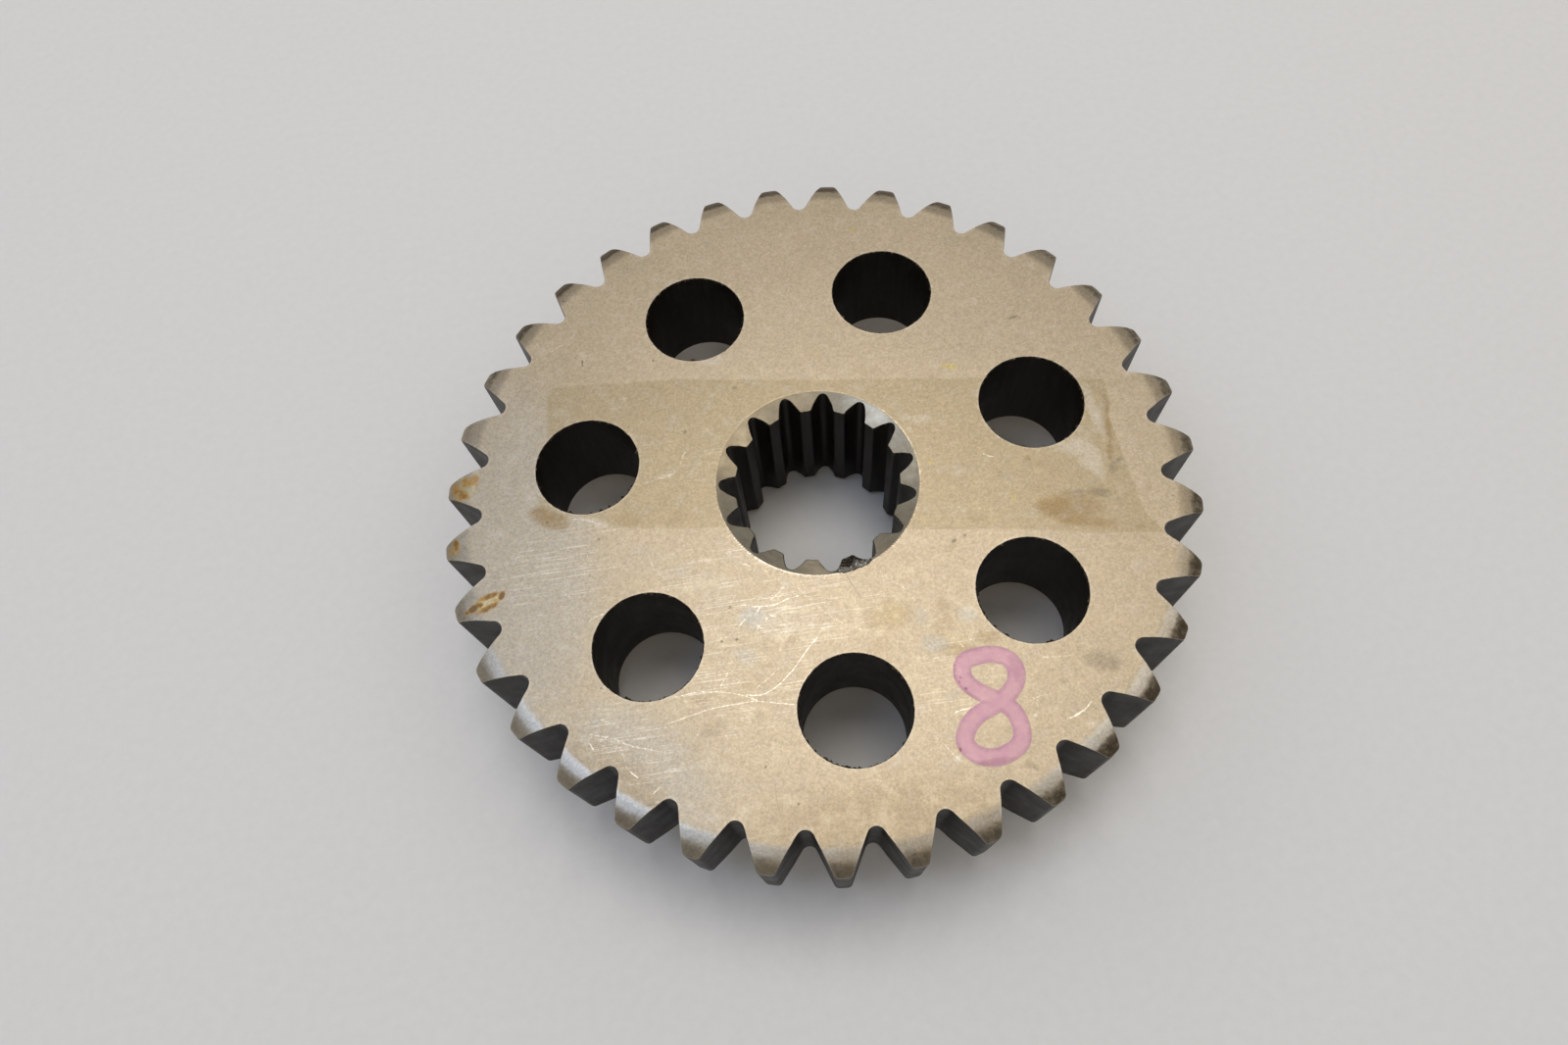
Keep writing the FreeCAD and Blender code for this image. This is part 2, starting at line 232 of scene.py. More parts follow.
# Widths of the scratches and dark lines. A line is full out to the first
# share of its width and gone at the second, and a spot likewise.
SCRATCH_WIDTH = 0.06
DARK_WIDTH = 0.07
LINE_CORE, LINE_FADE = 0.5, 2.2
SPOT_CORE, SPOT_FADE = 0.45, 1.35
# Soft spots: x, y, half-length, half-width, direction in degrees, strength.
BROWN_SPOTS = (
    (0.0, -48.5, 20.0, 8.0, 0, 0.6),
    (-39.4, 0.9, 1.8, 1.3, -20, 1.1), (-37.4, -0.5, 2.8, 1.5, -20, 1.2),
    (-27.0, -1.9, 2.6, 1.2, -15, 0.6), (-21.0, -2.4, 3.6, 1.6, -8, 0.5),
    (29.6, -1.6, 0.6, 0.5, 0, 0.9), (31.0, -2.6, 1.2, 0.7, -20, 0.6),
    (32.6, -4.2, 1.6, 1.0, -30, 0.4), (31.8, -9.4, 3.2, 2.0, -15, 1.15),
    (33.6, -11.6, 2.8, 1.2, -10, 1.0), (36.6, -12.6, 3.0, 1.1, -12, 0.8),
    (34.6, -9.6, 4.2, 2.4, -12, 0.8), (30.9, -6.6, 1.8, 1.2, 0, 0.4),
    (21.0, -9.6, 2.2, 0.9, -10, 0.5),
    (44.5, 8.2, 1.6, 0.6, 0, 0.6), (46.0, -0.6, 1.4, 0.7, 0, 0.4),
    (45.0, -8.6, 1.0, 1.3, 0, 0.4), (42.6, 5.2, 2.3, 0.6, 78, 0.8),
    (41.9, 1.4, 2.3, 0.6, 80, 1.0), (41.1, -2.0, 2.0, 0.6, 82, 1.0),
    (42.4, -14.0, 0.8, 0.5, 0, 0.8), (42.4, -15.8, 1.8, 0.4, -45, 0.6),
    (16.5, -13.0, 1.4, 0.7, 20, 0.5), (13.7, -21.0, 1.2, 1.2, 0, 0.6),
    (7.0, -21.0, 3.2, 2.6, 0, 0.55), (4.0, -26.6, 4.0, 2.0, 60, 0.5),
    (14.6, -27.4, 3.2, 1.2, -8, 0.75), (4.2, -21.4, 1.6, 2.6, 0, 0.5),
    (18.8, -26.2, 2.2, 1.2, 0, 0.8), (13.2, -23.8, 3.4, 1.6, 30, 0.5),
    (-12.8, -27.7, 1.7, 0.9, 10, 0.6), (-19.7, -28.9, 1.6, 0.8, -10, 0.6),
    (-6.7, -22.5, 1.4, 1.0, 20, 0.5), (-10.6, -25.6, 1.3, 0.6, 0, 0.4),
    (-32.0, -28.4, 1.5, 0.8, 0, 0.5), (9.6, 16.4, 3.0, 1.1, -8, 0.5),
    (-20.0, 18.8, 5.0, 1.0, -8, 0.3), (-34.0, 20.4, 2.4, 1.2, -8, 0.3),
    (12.1, -40.1, 0.35, 0.25, 60, 1.0), (10.5, -17.5, 0.3, 0.25, 0, 1.0),
    (29.0, 37.0, 1.8, 1.2, 40, 0.35), (-5.0, -26.8, 1.4, 0.7, 50, 0.4),
    (-20.8, -35.8, 1.9, 1.4, 60, 0.35), (22.0, 1.6, 2.2, 1.2, 30, 0.3),
    (-32.0, -38.0, 11.0, 5.0, -42, 0.7),
)
GREY_SPOTS = (
    (38.2, -8.2, 2.2, 0.8, -12, 0.6), (35.6, -7.7, 1.8, 0.35, -4, 0.6),
    (40.9, -4.8, 1.3, 0.8, 60, 0.55), (42.0, -3.8, 0.7, 0.5, 20, 0.6),
    (25.8, -3.6, 1.8, 0.8, -55, 0.35), (32.4, -31.6, 3.0, 1.6, -20, 0.6),
    (26.8, -33.4, 0.8, 0.5, 0, 0.4), (20.4, -43.2, 1.2, 0.6, -40, 0.5),
    (32.8, 21.8, 1.0, 0.3, 10, 0.7), (17.0, -12.2, 0.5, 0.28, 25, 1.0),
    (18.6, -11.6, 0.28, 0.2, 20, 1.0), (-14.4, -16.9, 0.3, 0.24, 0, 1.0),
    (-16.0, -21.5, 0.2, 0.2, 0, 1.0), (-14.0, -21.5, 0.26, 0.2, 0, 1.0),
    (-12.4, -38.6, 0.3, 0.18, 60, 1.0), (-8.9, -43.7, 0.2, 0.2, 0, 1.0),
    (-32.4, -25.4, 0.2, 0.18, 0, 1.0), (-31.3, -4.2, 0.22, 0.2, 0, 1.0),
    (-17.8, 10.6, 0.4, 0.3, 0, 0.8), (-9.8, 16.7, 0.5, 0.3, 0, 0.7),
    (47.7, -10.3, 0.22, 0.16, 0, 1.0), (-18.4, -32.9, 2.2, 1.1, 10, 0.45),
    (-12.2, -32.0, 1.0, 0.8, 0, 0.4), (-6.8, -19.0, 0.35, 0.3, 0, 0.5),
    (-14.4, -49.4, 1.1, 0.5, -16, 0.6), (-6.2, -51.4, 0.9, 0.5, -10, 0.5),
    (3.6, -51.0, 0.8, 0.45, 10, 0.8), (31.0, -42.4, 0.9, 1.6, 35, 0.8),
)
PALE_SPOTS = (
    (36.6, -0.9, 3.4, 1.7, -12, 0.65), (38.3, -3.0, 2.0, 2.4, 0, 0.65),
    (38.9, -5.2, 1.0, 1.5, 0, 0.55),
    (40.5, 4.2, 0.9, 5.0, 4, 0.7), (-43.2, 14.2, 1.0, 0.4, 60, 0.8),
    (-45.0, -1.0, 0.8, 0.4, 0, 0.6), (-41.0, 15.5, 1.8, 4.5, -10, 0.3),
    (-12.0, 21.8, 1.8, 0.9, 10, 0.6), (-26.2, 17.6, 0.7, 0.35, -30, 0.9),
    (-34.9, -32.1, 0.7, 0.9, 30, 1.0), (-22.1, -41.9, 0.6, 0.5, 0, 0.6),
    (-9.0, -19.0, 0.9, 0.5, 10, 0.8), (-1.8, -21.7, 0.9, 0.4, 10, 0.7),
    (0.8, -20.2, 0.3, 0.25, 0, 0.8), (11.6, -41.1, 0.6, 0.5, 0, 0.9),
    (14.2, 5.6, 0.6, 0.25, 0, 0.8), (26.4, 2.6, 0.5, 0.4, 0, 0.8),
    (16.2, 7.0, 1.6, 0.8, 0, 0.4), (-6.6, -14.9, 1.2, 0.5, 15, 0.6),
    (-36.0, -10.2, 1.0, 0.6, 60, 0.5), (-13.0, -9.6, 2.4, 1.6, -30, 0.35),
    (-31.6, -1.6, 2.6, 0.7, -25, 0.6), (30.0, -40.0, 2.0, 0.9, -35, 0.6),
    (0.0, 28.0, 1.0, 0.4, 0, 0.4), (-4.0, -30.0, 1.4, 0.5, 60, 0.3),
    (-8.6, -19.6, 6.5, 3.4, -12, 0.4), (-16.5, -13.5, 5.0, 3.0, -45, 0.3),
)
# Cool grey spots: the large ones on the left paint a cool light, the small ones are grey
# patches.
COOL_LIGHT_AND_GREY_SPOTS = (
    (-11.6, -18.6, 1.8, 1.6, 0, 0.9), (-13.2, -24.0, 1.8, 1.2, -30, 0.6),
    (-20.4, -10.6, 1.8, 1.4, 0, 0.4), (11.7, -26.0, 2.2, 1.4, -20, 0.7),
    (16.7, -22.8, 1.7, 1.2, -30, 0.7), (-33.4, -29.6, 1.1, 0.6, -20, 0.8),
    (10.6, -22.2, 1.0, 1.6, 10, 0.5), (-44.0, 4.0, 4.0, 9.0, 0, 0.35),
    (-40.0, -14.0, 5.0, 6.0, 0, 0.35), (-28.0, -8.0, 8.0, 2.6, 0, 0.25),
    (12.4, -33.2, 1.4, 0.7, 20, 0.5), (28.6, -41.6, 2.0, 0.6, -35, 0.5),
    (-42.0, -4.0, 12.0, 30.0, 0, 0.7), (-29.0, -37.0, 14.0, 9.0, -42, 0.6),
)
RUST_SPOTS = (
    (-51.4, 7.0, 0.8, 1.7, 15, 0.85), (-50.4, 5.9, 1.4, 0.9, -35, 0.9),
    (-49.9, 8.0, 1.2, 0.6, 20, 0.75), (-48.8, 7.8, 1.2, 0.8, 40, 0.8),
    (-50.1, 7.3, 0.5, 0.4, 0, 0.8), (-51.2, 5.0, 1.0, 0.5, -30, 0.6),
    (-48.1, 7.0, 0.6, 0.4, 60, 0.5), (-51.5, -1.8, 0.7, 1.2, 10, 0.95),
    (-52.3, -2.6, 0.5, 0.9, 40, 0.7), (-51.0, -3.0, 0.5, 0.6, 0, 0.6),
    (-49.1, -11.7, 0.9, 0.6, 20, 1.15), (-48.2, -11.3, 0.7, 0.5, 0, 0.9),
    (-50.0, -12.0, 0.5, 0.4, 0, 0.9), (-46.9, -10.3, 1.9, 0.5, 14, 0.95),
    (-45.1, -10.4, 0.5, 0.8, -20, 1.15), (-46.9, -11.9, 1.8, 0.5, 22, 0.95),
    (-48.4, -12.4, 0.9, 0.4, 0, 0.6), (-46.0, -10.9, 0.5, 0.4, 0, 0.5),
)
# The pale film that the rust has dried around.
RUST_FILM = (
    (-50.2, 6.7, 2.2, 1.9, 60, 0.9), (-51.6, -2.2, 1.0, 1.3, 0, 0.7),
    (-47.4, -11.2, 2.9, 1.0, 20, 0.9),
)
# Darker drops in the painted figure.
PAINT_DROPS = (
    (13.5, -29.3, 0.22, 0.2, 0, 1.0), (14.0, -31.0, 0.2, 0.2, 0, 0.9),
    (13.7, -31.5, 0.2, 0.16, 0, 0.8), (14.4, -32.5, 0.22, 0.18, 0, 1.0),
    (20.0, -31.4, 0.2, 0.16, 0, 0.7), (12.0, -40.1, 0.4, 0.3, 60, 1.0),
    (21.2, -31.2, 0.8, 2.6, 8, 0.3), (16.2, -42.1, 2.6, 0.5, 0, 0.45),
    (13.2, -30.0, 0.35, 1.4, 0, 0.4), (15.0, -33.6, 1.2, 0.4, -40, 0.4),
)
YELLOW_SPOTS = (
    (6.5, -21.5, 3.2, 2.2, 0, 0.3), (14.2, -25.4, 2.6, 1.4, -10, 0.3),
    (21.2, 15.3, 0.55, 0.4, 0, 0.9), (22.2, 14.9, 0.6, 0.45, 0, 1.0),
    (12.0, 42.1, 0.6, 0.35, 0, 0.8), (16.2, 0.0, 0.6, 0.4, 0, 0.6),
    (26.4, -7.1, 0.35, 0.7, 0, 0.55), (-10.0, 19.0, 0.4, 0.5, 0, 0.5),
    (3.0, 20.8, 0.4, 0.7, 0, 0.5), (14.0, -1.0, 0.5, 0.35, 0, 0.7),
)
# How strongly dirt has browned the tooth tips, by direction in degrees.
TIP_DIRT = (
    (-180, 0.0), (-110, 0.1), (-90, 0.35), (-72, 0.5), (-55, 0.75), (-35, 0.8), (0, 0.6),
    (40, 0.6), (60, 0.9), (75, 1.0), (130, 1.0), (145, 0.9), (160, 0.3), (180, 0.0),
)
# How strongly the start of the bevel is polished and carries a painted highlight, and how
# strongly painted shade and oil grey its outer half, by direction in degrees.
BEVEL_POLISH_AND_HIGHLIGHT = (
    (-180, 0.0), (-165, 0.2), (-155, 0.7), (-145, 1.0), (-118, 1.0), (-102, 0.5),
    (-75, 0.35), (-60, 0.8), (-45, 1.0), (-32, 0.7), (-15, 0.1), (0, 0.0), (180, 0.0),
)
BEVEL_SHADE_AND_OIL = (
    (-180, 0.0), (-150, 0.3), (-120, 0.5), (-95, 0.8), (-60, 0.8), (-10, 0.8),
    (40, 0.5), (70, 0.2), (150, 0.2), (165, 0.0), (180, 0.0),
)
# How strongly a painted highlight brightens the rim of the bore's chamfer, by direction in
# degrees.
MOUTH_HIGHLIGHT = (
    (-180, 0.35), (-165, 0.6), (-140, 0.8), (-105, 0.8), (-70, 0.4), (-40, 0.5), (0, 0.6),
    (30, 0.5), (60, 0.3), (100, 0.2), (150, 0.1), (180, 0.35),
)
# Where handling has left fine hairlines: rows as for the spots.
HANDLED = (
    (-13.0, -25.0, 15.0, 10.0, -30, 1.0), (-29.0, -33.0, 9.0, 5.0, -40, 1.0),
    (-5.0, -20.0, 12.0, 6.0, 10, 1.0), (-16.0, -14.0, 8.0, 6.0, -40, 0.9),
    (-37.0, -8.0, 9.0, 9.0, 0, 0.8), (14.0, -31.0, 9.0, 8.0, 0, 0.36),
    (26.0, -37.0, 6.0, 4.0, -40, 0.36), (-20.0, 8.0, 8.0, 6.0, 0, 0.5),
    (18.0, 3.0, 10.0, 7.0, 0, 0.4), (-12.0, -12.0, 7.0, 5.0, -40, 0.8),
)
# Outline of the strip that adhesive tape has left duller than the rest.
TAPE_STRIP = (
    (-38.6, 8.0), (-38.4, 20.0), (-36.8, 22.2), (-27.0, 20.7), (-15.0, 19.1),
    (-5.0, 17.3), (3.0, 15.9), (10.0, 14.9), (24.0, 12.7), (43.4, 9.2), (42.4, 3.0),
    (42.9, -7.0), (43.4, -12.1), (45.3, -15.4), (41.5, -14.8), (36.0, -14.0),
    (30.0, -12.6), (21.0, -11.0), (14.0, -9.9), (-14.0, -5.2), (-22.0, -4.1),
    (-29.5, -3.0), (-34.0, -0.8), (-38.6, -1.0), (-40.6, 1.6),
)
# The marks made of soft spots, and all the marks that the mesh carries.
SPOTS = {
    "brown": BROWN_SPOTS, "grey": GREY_SPOTS, "pale": PALE_SPOTS, "cool": COOL_LIGHT_AND_GREY_SPOTS,
    "rust": RUST_SPOTS, "rust_film": RUST_FILM, "drop": PAINT_DROPS,
    "yellow": YELLOW_SPOTS, "handled": HANDLED,
}
MARKS = ("edge", "paint", "tape", "scratch", "dark", "dirt", "shine", "oil", *SPOTS)

# The view: the point of the upper face in the middle of the picture, the
# direction from it to the camera in degrees, the camera's roll and distance,
# and the lens and sensor width.
AIM = (-5.523, -5.800, 24.0)
VIEW_TURN = -90.752
VIEW_RISE = 66.458
VIEW_ROLL = -7.726
VIEW_DISTANCE = 143.592
LENS = 23.8137
SENSOR = 36.0
# Half the floor's side and its gap below the part, in metres.
FLOOR_HALF = 4.0
FLOOR_GAP = 0.00002
# Lamps: place and width in metres, share of the key's power, and colour.
SOFTBOXES = (
    ("key_softbox", (0.045, 0.26, 0.963), 0.42, 1.0, "#FFFBF5"),
    ("side_softbox", (-0.43, -0.05, 0.90), 0.34, 0.27, "#CFE0FF"),
    ("left_softbox", (-0.64, 0.40, 0.65), 0.40, 0.12, "#EEF3FF"),
    ("far_softbox", (0.03, 0.92, 0.40), 0.40, 0.06, "#FFF0DC"),
    ("near_softbox", (0.10, -0.38, 0.90), 0.35, 0.09, "#FFEFD8"),
    ("right_softbox", (0.55, 0.04, 0.82), 0.50, 0.24, "#FFEFD6"),
)


def linear(text):
    """Linear red, green, blue and alpha of an sRGB hex colour."""
    parts = [int(text[i:i + 2], 16) / 255 for i in (1, 3, 5)]
    return tuple(
        c / 12.92 if c <= 0.04045 else ((c + 0.055) / 1.055) ** 2.4 for c in parts
    ) + (1.0,)


def per(width):
    """Texture scale at which one feature is about this wide in millimetres."""
    return 1.0 / (width * MM)


class SprocketSizes(bpy.types.PropertyGroup):
    """Sizes of the sprocket."""

    height: bpy.props.FloatProperty(
        name="Height", description="From the hub's end to the upper face",
        unit="LENGTH", precision=5, default=CAD_HIGH.z - CAD_LOW.z,
    )
    hub_height: bpy.props.FloatProperty(
        name="Hub height", description="How far the hub stands below the ring",
        unit="LENGTH", precision=5, default=0.0062,
    )
    hub_dia: bpy.props.FloatProperty(
        name="Hub diameter", description="Outside of the hub", unit="LENGTH",
        precision=5, default=0.038,
    )
    chain_pitch: bpy.props.FloatProperty(
        name="Chain pitch", description="Pitch of the chain on the teeth",
        unit="LENGTH", precision=5, default=0.009525,
    )
    tooth_count: bpy.props.IntProperty(
        name="Teeth", description="Teeth on the rim", default=35, min=9,
    )
    hole_count: bpy.props.IntProperty(
        name="Holes", description="Lightening holes", default=7, min=3,
    )
    hole_dia: bpy.props.FloatProperty(
        name="Hole diameter", description="Lightening hole", unit="LENGTH",
        precision=5, default=0.01485,
    )
    hole_wall: bpy.props.FloatProperty(
        name="Hole wall", description="Steel between a hole and the tooth gap outside it",
        unit="LENGTH", precision=5, default=0.007225,
    )
    groove_count: bpy.props.IntProperty(
        name="Grooves", description="Spline grooves in the bore", default=15, min=6,
    )
    crest_dia: bpy.props.FloatProperty(
        name="Crest diameter", description="Bore over the spline's crests",
        unit="LENGTH", precision=5, default=0.0233,
    )
    groove_dia: bpy.props.FloatProperty(
        name="Groove diameter", description="Circle over the groove bottoms",
        unit="LENGTH", precision=5, default=0.0278,
    )
    mouth_dia: bpy.props.FloatProperty(
        name="Mouth diameter", description="Circle where the bore chamfer starts",
        unit="LENGTH", precision=5, default=0.02865,
    )
    bevel_width: bpy.props.FloatProperty(
        name="Bevel width", description="Rim bevel along the radius",
        unit="LENGTH", precision=5, default=0.0034,
    )
    bevel_depth: bpy.props.FloatProperty(
        name="Bevel depth", description="Drop of the bevel at the tooth tips",
        unit="LENGTH", precision=5, default=0.0015,
    )
    edge_round: bpy.props.FloatProperty(
        name="Edge rounding", description="Mean radius worn onto the sharp edges",
        unit="LENGTH", precision=5, default=0.00010,
    )


class SprocketColours(bpy.types.PropertyGroup):
    """Colours of the sprocket's finishes."""

    face: bpy.props.FloatVectorProperty(
        name="Face", description="Ground face of the steel", subtype="COLOR",
        size=4, min=0, max=1, default=linear("#B6AA93"),
    )
    face_warm: bpy.props.FloatVectorProperty(
        name="Face, warm", description="Warmer patches of the face", subtype="COLOR",
        size=4, min=0, max=1, default=linear("#B6A388"),
    )
    tape: bpy.props.FloatVectorProperty(
        name="Tape strip", description="Face under the old tape strip",
        subtype="COLOR", size=4, min=0, max=1, default=linear("#A59577"),
    )
    turned: bpy.props.FloatVectorProperty(
        name="Turned", description="Turned bore chamfer and hub", subtype="COLOR",
        size=4, min=0, max=1, default=linear("#C2B8A2"),
    )
    # The walls' near-black colours are old oil together with painted shade.
    cut: bpy.props.FloatVectorProperty(
        name="Cut walls", description="Oil-darkened walls of teeth, holes and spline",
        subtype="COLOR", size=4, min=0, max=1, default=linear("#1A1612"),
    )
    cut_bare: bpy.props.FloatVectorProperty(
        name="Cut walls, bare", description="Where the oil film is thin", subtype="COLOR",
        size=4, min=0, max=1, default=linear("#2F2921"),
    )
    broken: bpy.props.FloatVectorProperty(
        name="Break", description="Clean grain of the broken tooth",
        subtype="COLOR", size=4, min=0, max=1, default=linear("#CDC8BC"),
    )
    paint: bpy.props.FloatVectorProperty(
        name="Paint", description="Marker paint on the face", subtype="COLOR",
        size=4, min=0, max=1, default=linear("#DFA5B9"),
    )
    paint_edge: bpy.props.FloatVectorProperty(
        name="Paint, edge", description="Marker paint where it has pooled",
        subtype="COLOR", size=4, min=0, max=1, default=linear("#C58CA6"),
    )
    rust: bpy.props.FloatVectorProperty(
        name="Rust", description="Rust on a few teeth", subtype="COLOR",
        size=4, min=0, max=1, default=linear("#B4832B"),
    )


class SprocketStage(bpy.types.PropertyGroup):
    """Floor and light."""

    floor: bpy.props.FloatVectorProperty(
        name="Floor", description="Pale floor", subtype="COLOR", size=4, min=0,
        max=1, default=linear("#EFEEEC"),
    )
    key_power: bpy.props.FloatProperty(
        name="Key power", description="Lamp over the part; the others are shares of it",
        unit="POWER", default=3.12,
    )
    room: bpy.props.FloatProperty(
        name="Room light", description="Brightness of the even room light",
        default=0.30, subtype="FACTOR", min=0, max=1,
    )


def in_mm(group):
    """The size group's numbers as plain values, lengths in millimetres."""
    found = {}
    for name in group.__annotations__:
        value = getattr(group, name)
        found[name] = value if isinstance(value, int) else value / MM
    return found


def around(angle):
    """Points on a circle of radius 1 at these angles in radians."""
    return np.stack([np.cos(angle), np.sin(angle)], axis=-1)


def turned(across, out, angle):
    """Points given across and out from a centre line at this angle, on the part."""
    c, s = math.cos(angle), math.sin(angle)
    across, out = np.asarray(across), np.asarray(out)
    return np.stack([out * c - across * s, out * s + across * c], axis=-1)


def arc(centre, radius, first, last, steps):
    """Points on an arc without its last one, angles in radians."""
    angle = np.linspace(first, last, steps + 1)[:-1]
    return centre[0] + radius * np.cos(angle), centre[1] + radius * np.sin(angle)


def run(start, end, steps):
    """Points on a straight line without its last one."""
    t = np.linspace(0, 1, steps + 1)[:-1]
    return start[0] + (end[0] - start[0]) * t, start[1] + (end[1] - start[1]) * t


def tooth_loop(z):
    """Plan of the rim: for each gap a corner, a flank, the round bottom and back."""
    flank = math.radians(FLANK_ANGLE)
    tip, root = z["tip"], z["root"]
    centre = root + GAP_ROUND
    apex = centre - GAP_ROUND / math.sin(flank)
    low = (GAP_ROUND * math.cos(flank), centre - GAP_ROUND * math.sin(flank))
    reach = tip - TIP_ROUND
    slope, shift = math.tan(flank), TIP_ROUND / math.cos(flank)
    a = 1 + slope ** 2
    b = slope * (shift - slope * apex)
    c = (shift - slope * apex) ** 2 - reach ** 2
    out = (-b + math.sqrt(b * b - a * c)) / a
    across = slope * (out - apex) + shift
    high = (across - TIP_ROUND * math.cos(flank), out + TIP_ROUND * math.sin(flank))
    top = math.atan2(out, across)
    corner = arc((across, out), TIP_ROUND, math.pi - flank, top, CORNER_STEPS)
    half = math.pi / z["tooth_count"]
    land = math.pi / 2 - top
    pieces = []
    for k in range(z["tooth_count"]):
        angle = math.radians(START) + 2 * half * k
        left = np.stack(corner, axis=-1)[::-1] * (-1, 1)
        start = np.array([[-tip * math.sin(land), tip * math.cos(land)]])
        down = run((-high[0], high[1]), (-low[0], low[1]), FLANK_STEPS)
        down = np.stack(down, axis=-1)[1:]
        bottom = np.stack(arc((0, centre), GAP_ROUND, math.pi + flank,
                              2 * math.pi - flank, BOTTOM_STEPS), axis=-1)
        up = np.stack(run(low, high, FLANK_STEPS), axis=-1)
        right = np.stack(corner, axis=-1)
        local = np.concatenate([start, left, down, bottom, up, right])
        points = turned(local[:, 0], local[:, 1], angle)
        ends = np.linspace(angle + land, angle + 2 * half - land, LAND_STEPS + 1)[:-1]
        pieces += [points, tip * around(ends)]
    return np.concatenate(pieces)


def spline_loop(z):
    """Plan of the bore: involute flanks into a round bottom, and rounded crests."""
    count = z["groove_count"]
    pitch = SPLINE_MODULE * count / 2
    base = pitch * math.cos(math.radians(SPLINE_ANGLE))
    crest, major = z["crest_dia"] / 2, z["groove_dia"] / 2
    inv = math.tan(math.radians(SPLINE_ANGLE)) - math.radians(SPLINE_ANGLE)

    def half(r):
        p = math.acos(base / r)
        return math.pi / (2 * count) + inv - (math.tan(p) - p)

    def round_at(r):
        lean = math.acos(base / r) - half(r)
        bend = r * math.sin(half(r)) / math.cos(lean)
        return bend, lean, r * math.cos(half(r)) - bend * math.sin(lean)

    # The involute ends where a round that meets it also touches the groove circle.
    low, high = pitch, major
    for _ in range(HALVINGS):
        form = (low + high) / 2
        bend, lean, centre = round_at(form)
        if centre + bend < major:
            low = form
        else:
            high = form
    radii = np.linspace(crest, form, GROOVE_FLANK)
    flank = np.array([(r * math.sin(half(r)), r * math.cos(half(r))) for r in radii])
    bottom = np.stack(arc((0, centre), bend, math.pi - lean, lean, BOTTOM_STEPS), axis=-1)[1:]
    ground = CREST_ROUND / np.linalg.norm(flank[1] - flank[0])
    start = flank[0] + (flank[1] - flank[0]) * ground
    side = half(crest) + CREST_ROUND / crest
    end = np.array([crest * math.sin(side), crest * math.cos(side)])
    t = np.linspace(0, 1, CREST_CORNER)[:, None]
    corner = (1 - t) ** 2 * end + 2 * t * (1 - t) * flank[0] + t ** 2 * start
    keep = np.linalg.norm(flank - flank[0], axis=1) > CREST_ROUND * 1.2
    climb = np.concatenate([corner, flank[keep]])
    groove = np.concatenate([climb * (-1, 1), bottom, climb[::-1]])
    pieces = []
    for k in range(count):
        angle = math.radians(START) + 2 * math.pi / count * k
        pieces.append(turned(groove[:, 0], groove[:, 1], angle))
        last = angle + 2 * math.pi / count - side
        ends = np.linspace(angle + side, last, CREST_LAND)[1:-1]
        pieces.append(crest * around(ends))
    return np.concatenate(pieces)


def inside(points, loop):
    """Which points lie inside a closed loop."""
    x, y = points[:, 0][:, None], points[:, 1][:, None]
    ax, ay = loop[:, 0], loop[:, 1]
    bx, by = np.roll(ax, -1), np.roll(ay, -1)
    crosses = (ay > y) != (by > y)
    at = ax + (y - ay) / np.where(by == ay, 1e-12, by - ay) * (bx - ax)
    return np.logical_xor.reduce(crosses & (x < at), axis=1)


def nearest(points, path, closed=False):
    """Distance from each point to a path of straight pieces."""
    path = np.asarray(path, float)
    a = path if closed else path[:-1]
    b = np.roll(path, -1, axis=0) if closed else path[1:]
    best = np.full(len(points), 1e9)
    for p, q in zip(a, b):
        d = q - p
        t = np.clip(((points - p) @ d) / max(d @ d, 1e-12), 0, 1)
        best = np.minimum(best, np.linalg.norm(points - p - t[:, None] * d, axis=1))
    return best


def smooth_path(points, step, closed):
    """A path of points about a step apart on a smooth curve through the given ones."""
    points = np.asarray(points, float)
    n = len(points)
    found = []
    for i in range(n if closed else n - 1):
        if closed:
            p0, p1, p2, p3 = (points[(i + j) % n] for j in (-1, 0, 1, 2))
        else:
            p0, p1, p2, p3 = (points[min(max(i + j, 0), n - 1)] for j in (-1, 0, 1, 2))
        parts = max(1, int(np.linalg.norm(p2 - p1) / step))
        for t in np.linspace(0, 1, parts + 1)[:-1]:
            found.append(0.5 * (
                2 * p1 + (p2 - p0) * t + (2 * p0 - 5 * p1 + 4 * p2 - p3) * t * t
                + (3 * p1 - p0 - 3 * p2 + p3) * t ** 3
            ))
    if not closed:
        found.append(points[-1])
    return np.array(found)


def rough(points, width, seed):
    """Noise from -1 to 1 at each point, its lumps about this wide."""
    return np.array([
        noise.noise(Vector((x / width, y / width, seed * 7.31))) for x, y in points
    ])


def step_up(value, low, high):
    """0 below low, 1 above high and a smooth climb between."""
    t = np.clip((value - low) / (high - low), 0, 1)
    return t * t * (3 - 2 * t)


def bevel_table(z):
    """Radius, drop and slope down the upper bevel: a cone that runs into a round."""
    tip, bevel = z["tip"], z["tip"] - z["bevel_width"]
    cone = math.radians(CONE_ANGLE)
    cone_end = bevel + CONE_WIDTH
    cone_drop = CONE_WIDTH * math.tan(cone)
    last = 2 * math.atan2(z["bevel_depth"] - cone_drop, tip - cone_end) - cone
    r = np.linspace(bevel - 1.0, tip + 0.3, 900)
    # Wear has softened the bevel's start over 0.8 mm to each side.
    start = step_up(r, bevel - 0.8, bevel + 0.8)
    share = np.clip((r - cone_end) / (tip - cone_end), 0, 1)
    sine = math.sin(cone) * start + (math.sin(last) - math.sin(cone)) * share
    slope = np.tan(np.arcsin(sine))
    drop = np.concatenate([[0], np.cumsum((slope[1:] + slope[:-1]) / 2 * np.diff(r))])
    drop *= z["bevel_depth"] / np.interp(tip, r, drop)
    return r, drop, slope


